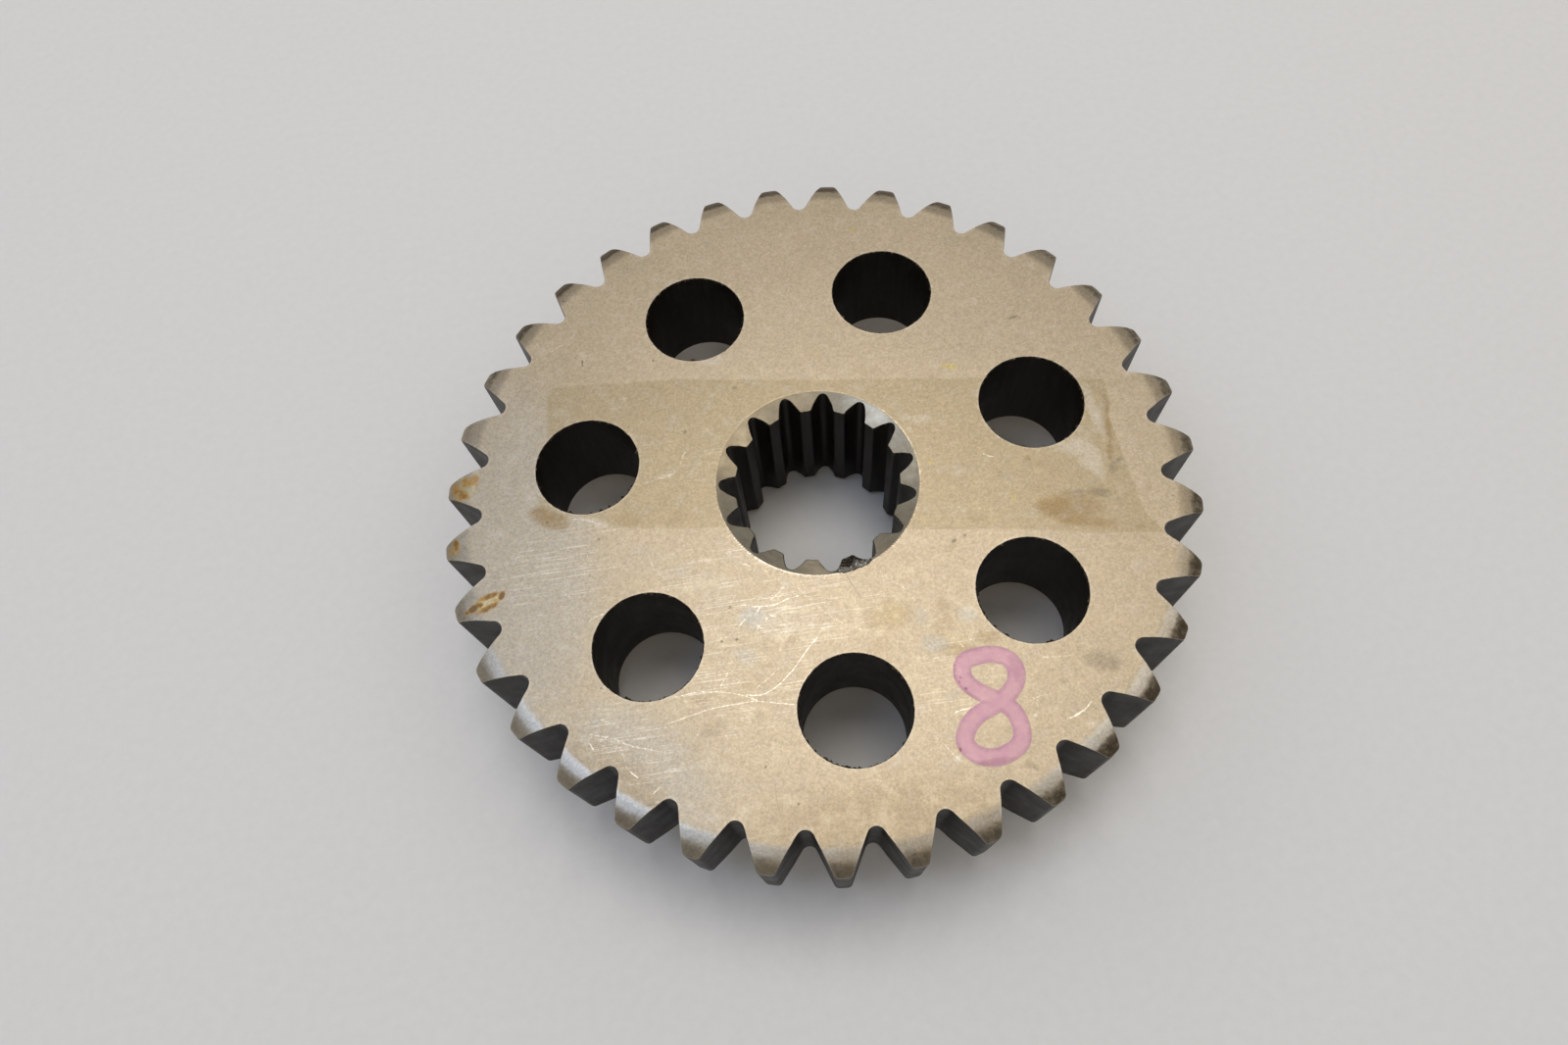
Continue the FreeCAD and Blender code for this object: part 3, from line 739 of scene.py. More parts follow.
def break_drop(z, points):
    """Drop of the broken spline tooth below the face at each point."""
    r = np.linalg.norm(points, axis=1)
    turn = np.degrees(np.arctan2(points[:, 1], points[:, 0])) - BREAK_ANGLE
    across = ((turn + 180) % 360 - 180) / (180 / z["groove_count"])
    rows = np.array(BREAK_ROWS)
    part = np.interp(across, rows[:, 0], rows[:, 1], left=0, right=0)
    lip = z["mouth_dia"] / 2 + BREAK_LIP + np.interp(across, rows[:, 0], rows[:, 2])
    near = (np.abs(across) < 1.0) & (r < lip + 1)
    # The lip wanders over 1.1 and 0.45 mm; the slope is grainy over 0.8 and 0.3 mm.
    jag = np.zeros(len(points))
    jag[near] = (
        0.16 * rough(points[near], 1.1, 3) + 0.10 * rough(points[near], 0.45, 5)
    )
    lip = lip + jag
    crest = z["crest_dia"] / 2
    middle = (lip + crest) / 2
    foot = lip - BREAK_STEP / 2
    step = BREAK_STEP * part
    # The slope runs on past the crest, so the break leaves no wall there.
    full = BREAK_DEPTH * part + 0.5
    outer = step * np.clip((lip - r) / (lip - foot), 0, 1)
    slope = step + step * np.clip((foot - r) / (foot - middle), 0, 1)
    deep = 2 * step + (full - 2 * step) * np.clip((middle - r) / (middle - crest + 1), 0, 2)
    drop = np.where(r > foot, outer, np.where(r > middle, slope, deep))
    grainy = np.zeros(len(points))
    grainy[near] = (
        0.22 * np.abs(rough(points[near], 0.8, 11)) + 0.10 * rough(points[near], 0.3, 13)
    )
    drop = drop + grainy * step_up(drop, 0.02, 0.4)
    return np.where(near & (part > 0.01), drop, 0)


def upper(z, points):
    """Height of the upper side at each point, its slope outwards and the break."""
    r = np.linalg.norm(points, axis=1)
    table_r, table_drop, table_slope = z["bevel_table"]
    drop = np.interp(r, table_r, table_drop, left=0)
    slope = np.interp(r, table_r, table_slope, left=0, right=table_slope[-1])
    tan = math.tan(math.radians(MOUTH_ANGLE))
    mouth = z["mouth_dia"] / 2
    inner = np.clip(mouth - r, 0, None) * tan
    slope = slope - tan * np.clip((mouth + 0.08 - r) / 0.16, 0, 1)
    broken = break_drop(z, points)
    height = z["height"] - np.maximum(drop + inner, broken)
    return height, slope, broken > drop + inner + 0.01


def lower(z, points):
    """Height of the lower side at each point and its slope: the hub's end with the
    bore chamfer, then the ring's lower face with a plain bevel."""
    r = np.linalg.norm(points, axis=1)
    bevel = z["tip"] - z["bevel_width"]
    fall = z["bevel_depth"] / z["bevel_width"]
    tan = math.tan(math.radians(MOUTH_ANGLE))
    mouth = z["mouth_dia"] / 2
    ring = z["hub_height"] + np.clip(r - bevel, 0, None) * fall
    height = np.where(r > z["hub_dia"] / 2, ring, np.clip(mouth - r, 0, None) * tan)
    slope = (
        fall * np.clip((r - bevel + 0.1) / 0.2, 0, 1)
        - tan * np.clip((mouth + 0.1 - r) / 0.2, 0, 1)
    )
    return height, slope


def side_normals(loop):
    """Unit normals in plan, to the right of the way the loop runs."""
    d = np.roll(loop, -1, axis=0) - np.roll(loop, 1, axis=0)
    d /= np.linalg.norm(d, axis=1)[:, None]
    return np.stack([d[:, 1], -d[:, 0]], axis=-1)


def extent(points, loop):
    """How far each point is from a loop's middle, and the loop's least and most."""
    middle = loop["points"].mean(axis=0)
    reach = np.linalg.norm(loop["points"] - middle, axis=1)
    return np.linalg.norm(points - middle, axis=1), reach.min(), reach.max()


def face_points(loops, spacing, low, high, extra):
    """Points inside the steel for the triangles of a face: an even grid from the
    radius low to high, and the extra ones."""
    rows = np.arange(-high, high, spacing * 0.866)
    even = []
    for i, y in enumerate(rows):
        x = np.arange(-high, high, spacing) + (spacing / 2 if i % 2 else 0)
        even.append(np.stack([x, np.full(len(x), y)], axis=-1))
    even = np.concatenate(even)
    r = np.linalg.norm(even, axis=1)
    points = np.concatenate([even[(r > low) & (r < high)]] + extra)
    keep = np.ones(len(points), bool)
    for loop in loops:
        off, least, most = extent(points, loop)
        near = (off > least - 1.5) & (off < most + 1.5)
        some = points[near]
        within = inside(some, loop["points"])
        far = nearest(some, loop["points"], closed=True) > loop["clear"]
        good = far & (within if loop["outer"] else ~within)
        keep[np.flatnonzero(near)[~good]] = False
        keep &= off < most if loop["outer"] else off > least - 1.4
    return points[keep]


def circles(radii, gap):
    """Points about a gap apart on circles round the axis."""
    found = []
    for radius in radii:
        count = int(2 * math.pi * radius / gap)
        angle = np.arange(count) * 2 * math.pi / count + radius
        found.append(radius * around(angle))
    return found


def triangles(loops, points):
    """Vertices and triangles of the steel between the loops, loops first."""
    flat, edges, starts = [], [], []
    for loop in loops:
        starts.append(len(flat))
        n = len(loop["inner"])
        edges += [(len(flat) + i, len(flat) + (i + 1) % n) for i in range(n)]
        flat += [Vector(p) for p in loop["inner"]]
    border = len(flat)
    flat += [Vector(p) for p in points]
    verts, _, faces, origin, _, _ = delaunay_2d_cdt(flat, edges, [], 0, 1e-7)
    if len(verts) != len(flat):
        raise RuntimeError(f"outlines cross: {len(flat)} points became {len(verts)}")
    order = np.array([o[0] for o in origin])
    tris = order[np.array(faces)]
    xy = np.array([tuple(p) for p in flat])
    on_border = (tris < border).all(axis=1)
    middle = xy[tris[on_border]].mean(axis=1)
    good = np.ones(len(middle), bool)
    for loop in loops:
        ins = inside(middle, loop["inner"])
        good &= ins if loop["outer"] else ~ins
    keep = np.ones(len(tris), bool)
    keep[np.flatnonzero(on_border)[~good]] = False
    tris = tris[keep]
    a, b, c = (xy[tris[:, i]] for i in range(3))
    (ux, uy), (vx, vy) = (b - a).T, (c - a).T
    wrong = ux * vy - uy * vx < 0
    tris[wrong] = tris[wrong][:, ::-1]
    return xy, tris, starts


def spots(points, rows):
    """Strongest of some soft spots at each point."""
    best = np.zeros(len(points))
    for x, y, long, wide, turn, strength in rows:
        a = math.radians(turn)
        dx, dy = points[:, 0] - x, points[:, 1] - y
        u = (dx * math.cos(a) + dy * math.sin(a)) / long
        v = (dy * math.cos(a) - dx * math.sin(a)) / wide
        fade = step_up(-np.hypot(u, v), -SPOT_FADE, -SPOT_CORE)
        best = np.maximum(best, strength * fade)
    return best


def lines(points, rows, width):
    """Strongest of some thin lines at each point."""
    best = np.zeros(len(points))
    for strength, path in rows:
        path = smooth_path(path, 0.8, False)
        low, high = path.min(axis=0) - 1, path.max(axis=0) + 1
        near = ((points > low) & (points < high)).all(axis=1)
        d = nearest(points[near], path)
        fade = step_up(-d, -LINE_FADE * width, -LINE_CORE * width)
        best[near] = np.maximum(best[near], strength * fade)
    return best


def ribbon(path, width):
    """Points along both sides of a thin line, to carry its colour."""
    path = smooth_path(path, 0.3, False)
    side = side_normals(path)
    # An open path has no neighbour past its ends.
    if len(path) > 2:
        side[0], side[-1] = side[1], side[-2]
    shares = (-LINE_FADE, -LINE_CORE, LINE_CORE, LINE_FADE)
    return np.concatenate([path + side * (width * share) for share in shares])


class MeshParts:
    """Vertices, normals, faces and finishes gathered for one mesh."""

    def __init__(self):
        self.points, self.normals, self.faces, self.finish = [], [], [], []
        self.marks = {}
        self.count = 0

    def add(self, points, normals, **marks):
        """Adds points with their normals and marks; gives the first one's number."""
        first = self.count
        self.points.append(points)
        self.normals.append(normals)
        for name, values in marks.items():
            self.marks.setdefault(name, []).append((first, values))
        self.count += len(points)
        return first

    def join(self, faces, finish):
        """Adds faces on points that are there, with one finish or one each."""
        self.faces.append(np.asarray(faces))
        self.finish.append(np.broadcast_to(finish, len(faces)))

    def strip(self, row_a, row_b, n, finish, flip):
        """Adds the closed band of faces between two rows of n points."""
        i = np.arange(n)
        j = (i + 1) % n
        quads = np.stack([row_a + i, row_b + i, row_b + j, row_a + j], axis=-1)
        self.join(quads[:, ::-1] if flip else quads, finish)


def make_loops(z):
    """Plan outlines, each with its wall normals, worn edge radius and burr."""
    # Each has how far mesh points keep clear of it, and its burr: the drilled
    # holes' rims are ragged, and the other two outlines were cut clean.
    loops = [
        {"points": tooth_loop(z), "outer": True, "clear": 0.34, "burr": 0.04},
        {"points": spline_loop(z), "outer": False, "clear": 0.24, "burr": 0.04},
    ]
    turn = np.linspace(0, 2 * math.pi, HOLE_SIDES, endpoint=False)
    for k in range(z["hole_count"]):
        angle = math.radians(START) + 2 * math.pi / z["hole_count"] * k
        ring = z["hole_ring"] * around(angle) + z["hole_dia"] / 2 * around(turn)
        loops.append({"points": ring, "outer": False, "clear": 0.34, "burr": 0.46})
    for seed, loop in enumerate(loops):
        p = loop["points"]
        loop["out"] = side_normals(p) if loop["outer"] else -side_normals(p)
        # Wear comes and goes along an edge over about 3 mm and 0.6 mm.
        wear = 1 + 0.45 * rough(p, 3.0, seed) + 0.35 * rough(p, 0.6, seed + 20)
        loop["edge"] = z["edge_round"] * np.clip(wear, 0.4, 1.6)
        loop["edge"][break_drop(z, p) > 0.05] = 0.05
        burr = loop["burr"] * (rough(p, 0.5, seed + 40) + 0.6 * rough(p, 0.25, seed + 60))
        # The rim's burr stays within the tip circle.
        if loop["outer"]:
            burr = np.minimum(burr - 0.05, 0)
        loop["lip"] = np.maximum(burr, -0.3 * loop["edge"])
        loop["inner"] = p - loop["out"] * loop["edge"][:, None]
    return loops


def unit(vectors):
    """The vectors made one long."""
    return vectors / np.linalg.norm(vectors, axis=1)[:, None]


def surface_normals(points, slope, up, broken=None, height_of=None):
    """Normals of a face, up or down, from its slope along the radius, and in the
    break from the heights beside each point."""
    r = np.linalg.norm(points, axis=1)[:, None]
    n = np.concatenate([points / r * slope[:, None], np.ones((len(points), 1))], axis=1)
    if broken is not None:
        p, h = points[broken], 0.05
        dx = (height_of(p + (h, 0)) - height_of(p - (h, 0))) / (2 * h)
        dy = (height_of(p + (0, h)) - height_of(p - (0, h))) / (2 * h)
        n[broken] = np.stack([-dx, -dy, np.ones(len(p))], axis=-1)
    n = unit(n)
    n[:, 2] *= up
    return n


def leaning(normals, out, angle):
    """A face's normals turned by this angle towards the wall's."""
    mixed = normals * math.cos(angle)
    mixed[:, :2] += out * math.sin(angle)
    return unit(mixed)


def face_marks(z, points, loops):
    """What the surface of the upper face carries at each point, from 0 to 1: its marks, and
    where highlights and shade are painted.
    """
    # Distance to the nearest outline, where that is near.
    edge = np.full(len(points), 9.0)
    for loop in loops:
        off, least, most = extent(points, loop)
        near = (off > least - 2) & (off < most + 2)
        edge[near] = np.minimum(edge[near], nearest(points[near], loop["points"][::2], True))
    # Paint and tape go from 0 to 1 over 2 mm and 3 mm, with 0.5 on their outlines.
    stroke = smooth_path(PAINT_STROKE, 0.5, True)
    close = np.linalg.norm(points - stroke.mean(axis=0), axis=1) < 12
    paint = np.zeros(len(points))
    paint[close] = np.clip(
        0.5 + (PAINT_WIDTH / 2 - nearest(points[close], stroke, True)) / 2.0, 0, 1
    )
    strip = np.array(TAPE_STRIP)
    side = np.where(inside(points, strip), 1, -1)
    tape = np.clip(0.5 + side * nearest(points, strip, True) / 3.0, 0, 1)
    # The strip fades towards its left end.
    tape *= 1 - 0.35 * step_up(-points[:, 0], 20, 38)
    r = np.linalg.norm(points, axis=1)
    turn = np.degrees(np.arctan2(points[:, 1], points[:, 0]))
    # Dirt, the bevel's polish with its painted highlight, and the bevel's painted shade with oil
    # lie in rings, measured from the start of the bevel.
    start = z["tip"] - z["bevel_width"]
    dirt = step_up(r, start + 0.6, start + 2.0) * np.interp(turn, *zip(*TIP_DIRT))
    # The bevel's start is polished and carries a painted highlight, stronger on some sides.
    shine = step_up(r, start - 0.6, start + 0.3) * (1 - step_up(r, start + 0.8, start + 2.3))
    shine *= np.interp(turn, *zip(*BEVEL_POLISH_AND_HIGHLIGHT))
    # Painted shade, with some oil, greys the bevel's outer half, more on some sides.
    oil = step_up(r, start + 0.7, z["tip"] - 0.6) * np.interp(turn, *zip(*BEVEL_SHADE_AND_OIL))
    # Oil has also soaked into the deeper part of the break.
    oil = np.maximum(oil, step_up(break_drop(z, points), 0.8, 1.7))
    # A painted highlight brightens the chamfer's rim in a thin ring just outside its crease.
    rim = 1 - step_up(np.abs(r - z["mouth_dia"] / 2 - MOUTH_ROWS[1]), 0.05, 0.25)
    rim *= np.interp(turn, *zip(*MOUTH_HIGHLIGHT))
    return {
        "edge": 1 - step_up(edge, 0.0, 1.2),
        "paint": paint,
        "tape": tape,
        # The scratch mark also carries the chamfer rim's painted highlight.
        "scratch": np.maximum(lines(points, SCRATCHES, SCRATCH_WIDTH), rim),
        "dark": lines(points, DARK_LINES, DARK_WIDTH),
        "dirt": dirt,
        "shine": shine,
        "oil": oil,
        **{name: spots(points, rows) for name, rows in SPOTS.items()},
    }


def grid(across, along):
    """Every pair of these values as a point."""
    return np.stack([part.ravel() for part in np.meshgrid(across, along)], axis=-1)


def patches():
    """Finer points where the paint, the lines, the small spots and the break are."""
    stroke = smooth_path(PAINT_STROKE, 0.5, True)
    low, high = stroke.min(axis=0) - 1.5, stroke.max(axis=0) + 1.5
    fine = grid(np.arange(low[0], high[0], PAINT_GRID), np.arange(low[1], high[1], PAINT_GRID))
    found = [fine[nearest(fine, stroke, True) < PAINT_WIDTH / 2 + 0.4]]
    for width, rows in ((SCRATCH_WIDTH, SCRATCHES), (DARK_WIDTH, DARK_LINES)):
        found += [ribbon(path, width) for _, path in rows]
    for x, y, long, wide, turn, _ in RUST_SPOTS + GREY_SPOTS + YELLOW_SPOTS:
        a = math.radians(turn)
        gap = min(long, wide) / 3
        spot = grid(*(np.arange(-1.3 * half, 1.3 * half, gap) for half in (long, wide)))
        u, v = spot.T
        found.append(np.stack([
            x + u * math.cos(a) - v * math.sin(a),
            y + u * math.sin(a) + v * math.cos(a),
        ], axis=-1))
    # The break's grid is set off a little, so that no two points fall together.
    spot = grid(*(np.arange(*ends, BREAK_GRID) for ends in BREAK_PATCH))
    found.append(turned(spot[:, 0] + 0.011, spot[:, 1] + 0.013, math.radians(BREAK_ANGLE)))
    return found


def low_face(parts, z, loops, spacing, low, high, extra, finish):
    """A face of the lower side; gives where each of its loops starts in the mesh."""
    xy, tris, starts = triangles(loops, face_points(loops, spacing, low, high, extra))
    height, slope = lower(z, xy)
    first = parts.add(np.column_stack([xy, height]), surface_normals(xy, slope, -1))
    parts.join(tris[:, ::-1] + first, finish)
    return [first + start for start in starts]


def hub_side(parts, z):
    """The hub's side between its end face and the ring: a bevel, the wall and a round."""
    way = around(np.linspace(0, 2 * math.pi, HUB_SIDES, endpoint=False))
    hub, base = z["hub_dia"] / 2, z["hub_height"]
    slant = math.sqrt(0.5)
    rows = [(hub - HUB_BEVEL, 0.0, slant, -slant), (hub, HUB_BEVEL, slant, -slant),
            (hub, HUB_BEVEL, 1, 0), (hub, base - HUB_FILLET, 1, 0)]
    for i in range(1, FILLET_STEPS + 1):
        a = i / FILLET_STEPS * math.pi / 2
        rows.append((hub + HUB_FILLET * (1 - math.cos(a)),
                     base - HUB_FILLET * (1 - math.sin(a)), math.cos(a), -math.sin(a)))
    row, last = None, None
    for r, height, out, up in rows:
        new = parts.add(
            np.column_stack([way * r, np.full(HUB_SIDES, height)]),
            np.column_stack([way * out, np.full(HUB_SIDES, up)]),
        )
        if last not in (None, (r, height)):
            parts.strip(new, row, HUB_SIDES, TURNED, False)
        row, last = new, (r, height)


def wall(parts, z, loop, low_loop, row, low_row, low_edge):
    """One outline's wall: the worn upper edge, the straight part and the lower edge."""
    p, out, edge = loop["points"], loop["out"], loop["edge"]
    n = len(p)
    flip = not loop["outer"]
    broken_edge = break_drop(z, p) > 0.05
    face_n = surface_normals(loop["inner"], upper(z, loop["inner"])[1], 1)
    for i in range(1, EDGE_STEPS + 1):
        a = i / EDGE_STEPS * math.pi / 2
        at = p - out * (edge * (1 - math.sin(a)) - loop["lip"] * math.sin(a))[:, None]
        height = upper(z, p if i == EDGE_STEPS else at)[0] - edge * (1 - math.cos(a))
        new = parts.add(np.column_stack([at, height]), leaning(face_n, out, a),
                        edge=np.ones(n))
        worn = FACE if i < EDGE_STEPS - 1 and loop["outer"] else CUT
        parts.strip(row, new, n, np.where(broken_edge, BROKEN, worn), flip)
        row = new
    high, low = height, lower(z, p)[0] + low_edge
    wall_n = np.column_stack([out, np.zeros(n)])
    for share in WALL_ROWS:
        new = parts.add(np.column_stack([p, high + (low - high) * share]), wall_n,
                        edge=np.full(n, max(0.0, 1 - share * 9)))
        parts.strip(row, new, n, CUT, flip)
        row = new
    low_n = surface_normals(low_loop["inner"], lower(z, low_loop["inner"])[1], -1)
    for i in range(1, LOW_EDGE_STEPS):
        a = i / LOW_EDGE_STEPS * math.pi / 2
        at = p - out * low_edge * (1 - math.cos(a))
        height = lower(z, at)[0] + low_edge * (1 - math.sin(a))
        new = parts.add(np.column_stack([at, height]), leaning(low_n, out, math.pi / 2 - a),
                        edge=np.ones(n))
        parts.strip(row, new, n, CUT, flip)
        row = new
    parts.strip(row, low_row, n, CUT, flip)


def build_ring(z, colours):
    """The whole sprocket as one mesh."""
    z["tip"] = z["chain_pitch"] / 2 * (
        1 / math.tan(math.pi / z["tooth_count"]) + TIP_SHARE
    )
    z["root"] = z["tip"] - GAP_SHARE * z["chain_pitch"]
    z["hole_ring"] = z["root"] - z["hole_wall"] - z["hole_dia"] / 2
    z["bevel_table"] = bevel_table(z)
    loops = make_loops(z)
    parts = MeshParts()
    mouth, bevel, hub = z["mouth_dia"] / 2, z["tip"] - z["bevel_width"], z["hub_dia"] / 2

    def top(points):
        return upper(z, points)[0]

    extra = circles([bevel + step for step in BEVEL_ROWS], 0.45)
    extra += circles([mouth + step for step in MOUTH_ROWS], 0.4)
    inner = face_points(loops, FACE_GRID, mouth + 0.5, bevel - 0.9, extra + patches())
    xy, tris, starts = triangles(loops, inner)
    height, slope, broken = upper(z, xy)
    first = parts.add(
        np.column_stack([xy, height]), surface_normals(xy, slope, 1, broken, top),
        **face_marks(z, xy, loops),
    )
    middle = np.linalg.norm(xy[tris].mean(axis=1), axis=1)
    finish = np.full(len(tris), FACE)
    finish[middle < mouth - 0.04] = TURNED
    finish[broken[tris].sum(axis=1) >= 2] = BROKEN
    parts.join(tris + first, finish)

    low_edge = z["edge_round"] * 0.8
    low_loops = [{**loop, "inner": loop["points"] - loop["out"] * low_edge} for loop in loops]
    way = around(np.linspace(0, 2 * math.pi, HUB_SIDES, endpoint=False))
    foot, end = (
        {"points": way * r, "inner": way * r, "outer": outer, "clear": 0.5}
        for r, outer in ((hub + HUB_FILLET, False), (hub - HUB_BEVEL, True))
    )
    ring_starts = low_face(
        parts, z, [low_loops[0]] + low_loops[2:] + [foot], RING_GRID, hub + 1.5, bevel - 0.5,
        circles((bevel - 0.1, bevel + 0.1, bevel + 1.6), 1.2), FACE,
    )
    end_starts = low_face(
        parts, z, [low_loops[1], end], HUB_GRID, mouth + 0.5, hub - 1.2,
        circles((mouth + 0.1, mouth - 0.1, mouth - 1.2), 1.0), TURNED,
    )
    hub_side(parts, z)

    low_starts = [ring_starts[0], end_starts[0]] + ring_starts[1:-1]
    for loop, low_loop, start, low_start in zip(loops, low_loops, starts, low_starts):
        wall(parts, z, loop, low_loop, first + start, low_start, low_edge)
    return write_mesh(parts, colours)


def write_mesh(parts, colours):
    """The gathered points and faces as a Blender object with its marks and finishes."""
    mesh = bpy.data.meshes.new("sprocket_ring")
    points = np.concatenate(parts.points) * MM
    faces = [tuple(int(v) for v in f) for group in parts.faces for f in group]
    mesh.from_pydata([tuple(p) for p in points], [], faces)
    for name in MARKS:
        values = np.zeros(parts.count, np.float32)
        for first, some in parts.marks.get(name, []):
            values[first:first + len(some)] = some
        mesh.attributes.new(name, "FLOAT", "POINT").data.foreach_set("value", values)
    mesh.polygons.foreach_set("material_index", np.concatenate(parts.finish).astype(np.int32))
    mesh.polygons.foreach_set("use_smooth", np.ones(len(faces), bool))
    for material in (face_steel(colours), turned_steel(colours), cut_steel(colours),
                     broken_steel(colours)):
        mesh.materials.append(material)
    mesh.update()
    mesh.normals_split_custom_set_from_vertices(
        [tuple(n) for n in np.concatenate(parts.normals)]
    )
    if mesh.validate():
        raise RuntimeError("the ring's mesh had faces that Blender refused")
    ring = bpy.data.objects.new("sprocket_ring", mesh)
    bpy.context.scene.collection.objects.link(ring)
    return ring


def fill(tree, node, inputs):
    """Fills a node's inputs with values or links."""
    for socket, value in inputs.items():
        if isinstance(value, bpy.types.NodeSocket):
            tree.links.new(value, node.inputs[socket])
        else:
            node.inputs[socket].default_value = value


def add(tree, kind, inputs=None, **settings):
    """Adds a node with its settings, values and links."""
    node = tree.nodes.new(kind)
    for name, value in settings.items():
        setattr(node, name, value)
    fill(tree, node, inputs or {})
    return node


def new_material(name):
    """An empty node material with its Principled shader."""
    material = bpy.data.materials.new(name)
    material.use_nodes = True
    tree = material.node_tree
    tree.nodes.clear()
    shader = add(tree, "ShaderNodeBsdfPrincipled")
    add(tree, "ShaderNodeOutputMaterial", {"Surface": shader.outputs[0]})
    return material, tree, shader


def lit(tree, colour, pattern, darkest, lightest, low=0.3, high=0.7):
    """A colour made darker and lighter as a pattern runs from low to high."""
    light = add(tree, "ShaderNodeMapRange", {
        "Value": pattern, "From Min": low, "From Max": high,
        "To Min": darkest, "To Max": lightest,
    }).outputs[0]
    return add(tree, "ShaderNodeVectorMath", {0: colour, "Scale": light},
               operation="SCALE").outputs[0]


def blend(tree, first, second, pattern, low, high, most=1.0):
    """One colour turning into another as a pattern runs from low to high."""
    share = add(tree, "ShaderNodeMapRange", {
        "Value": pattern, "From Min": low, "From Max": high, "To Max": most,
    }).outputs[0]
    return add(tree, "ShaderNodeMix", {0: share, 6: first, 7: second},
               data_type="RGBA").outputs[2]


def ragged(tree, mark, pattern, part, low, high, most=1.0, least=0.0):
    """How much a mark covers: it starts at low, is full at high, and a pattern
    breaks up its edge."""
    spread = add(tree, "ShaderNodeMath", {0: pattern, 1: part, 2: mark},
                 operation="MULTIPLY_ADD").outputs[0]
    return add(tree, "ShaderNodeMapRange", {
        "Value": spread, "From Min": low, "From Max": high, "To Min": least, "To Max": most,
    }, interpolation_type="SMOOTHSTEP").outputs[0]


def layer(tree, colour, shade, *mark_and_range):
    """A colour with the shade of a ragged mark over it, and how much that covers."""
    cover = ragged(tree, *mark_and_range)
    over = add(tree, "ShaderNodeMix", {0: cover, 6: colour, 7: shade},
               data_type="RGBA").outputs[2]
    return over, cover


def hairlines(tree, at, cloud, handled):
    """Hairline scratches in three directions, strongest where the face was handled."""
    hairs = None
    for turn, long, thin, depth in ((12, 9.0, 0.14, 0.0), (78, 7.0, 0.13, 3.0),
                                    (-38, 8.0, 0.14, 6.0)):
        lie = add(tree, "ShaderNodeMapping", {
            "Vector": at, "Rotation": (0, 0, math.radians(turn)), "Location": (0, 0, depth),
            "Scale": (per(long), per(thin), per(long)),
        }).outputs[0]
        streak = add(tree, "ShaderNodeTexNoise", {
            "Vector": lie, "Scale": 1.0, "Detail": 1.0, "Roughness": 0.4,
        }).outputs["Fac"]
        hair = add(tree, "ShaderNodeMapRange", {
            "Value": streak, "From Min": 0.64, "From Max": 0.73,
        }, interpolation_type="SMOOTHSTEP").outputs[0]
        hairs = hair if hairs is None else add(
            tree, "ShaderNodeMath", {0: hairs, 1: hair}, operation="MAXIMUM").outputs[0]
    worked = add(tree, "ShaderNodeMapRange", {
        "Value": cloud, "From Min": 0.42, "From Max": 0.62, "To Max": 0.3,
    }, interpolation_type="SMOOTHSTEP").outputs[0]
    worked = add(tree, "ShaderNodeMath", {0: handled, 1: 0.9, 2: worked},
                 operation="MULTIPLY_ADD").outputs[0]
    return add(tree, "ShaderNodeMath", {0: hairs, 1: worked}, operation="MULTIPLY").outputs[0]


def specks(tree, at):
    """Pits and dirt specks, 0.15 to 0.3 mm, a few to the square centimetre."""
    cell = add(tree, "ShaderNodeTexVoronoi", {"Vector": at, "Scale": per(3.4)})
    lot = add(tree, "ShaderNodeSeparateColor", {0: cell.outputs["Color"]}).outputs[0]
    chosen = add(tree, "ShaderNodeMath", {0: lot, 1: 0.7}, operation="GREATER_THAN").outputs[0]
    speck = add(tree, "ShaderNodeMapRange", {
        "Value": cell.outputs["Distance"], "From Min": 0.03, "From Max": 0.05,
        "To Min": 1.0, "To Max": 0.0,
    }).outputs[0]
    return add(tree, "ShaderNodeMath", {0: speck, 1: chosen}, operation="MULTIPLY").outputs[0]


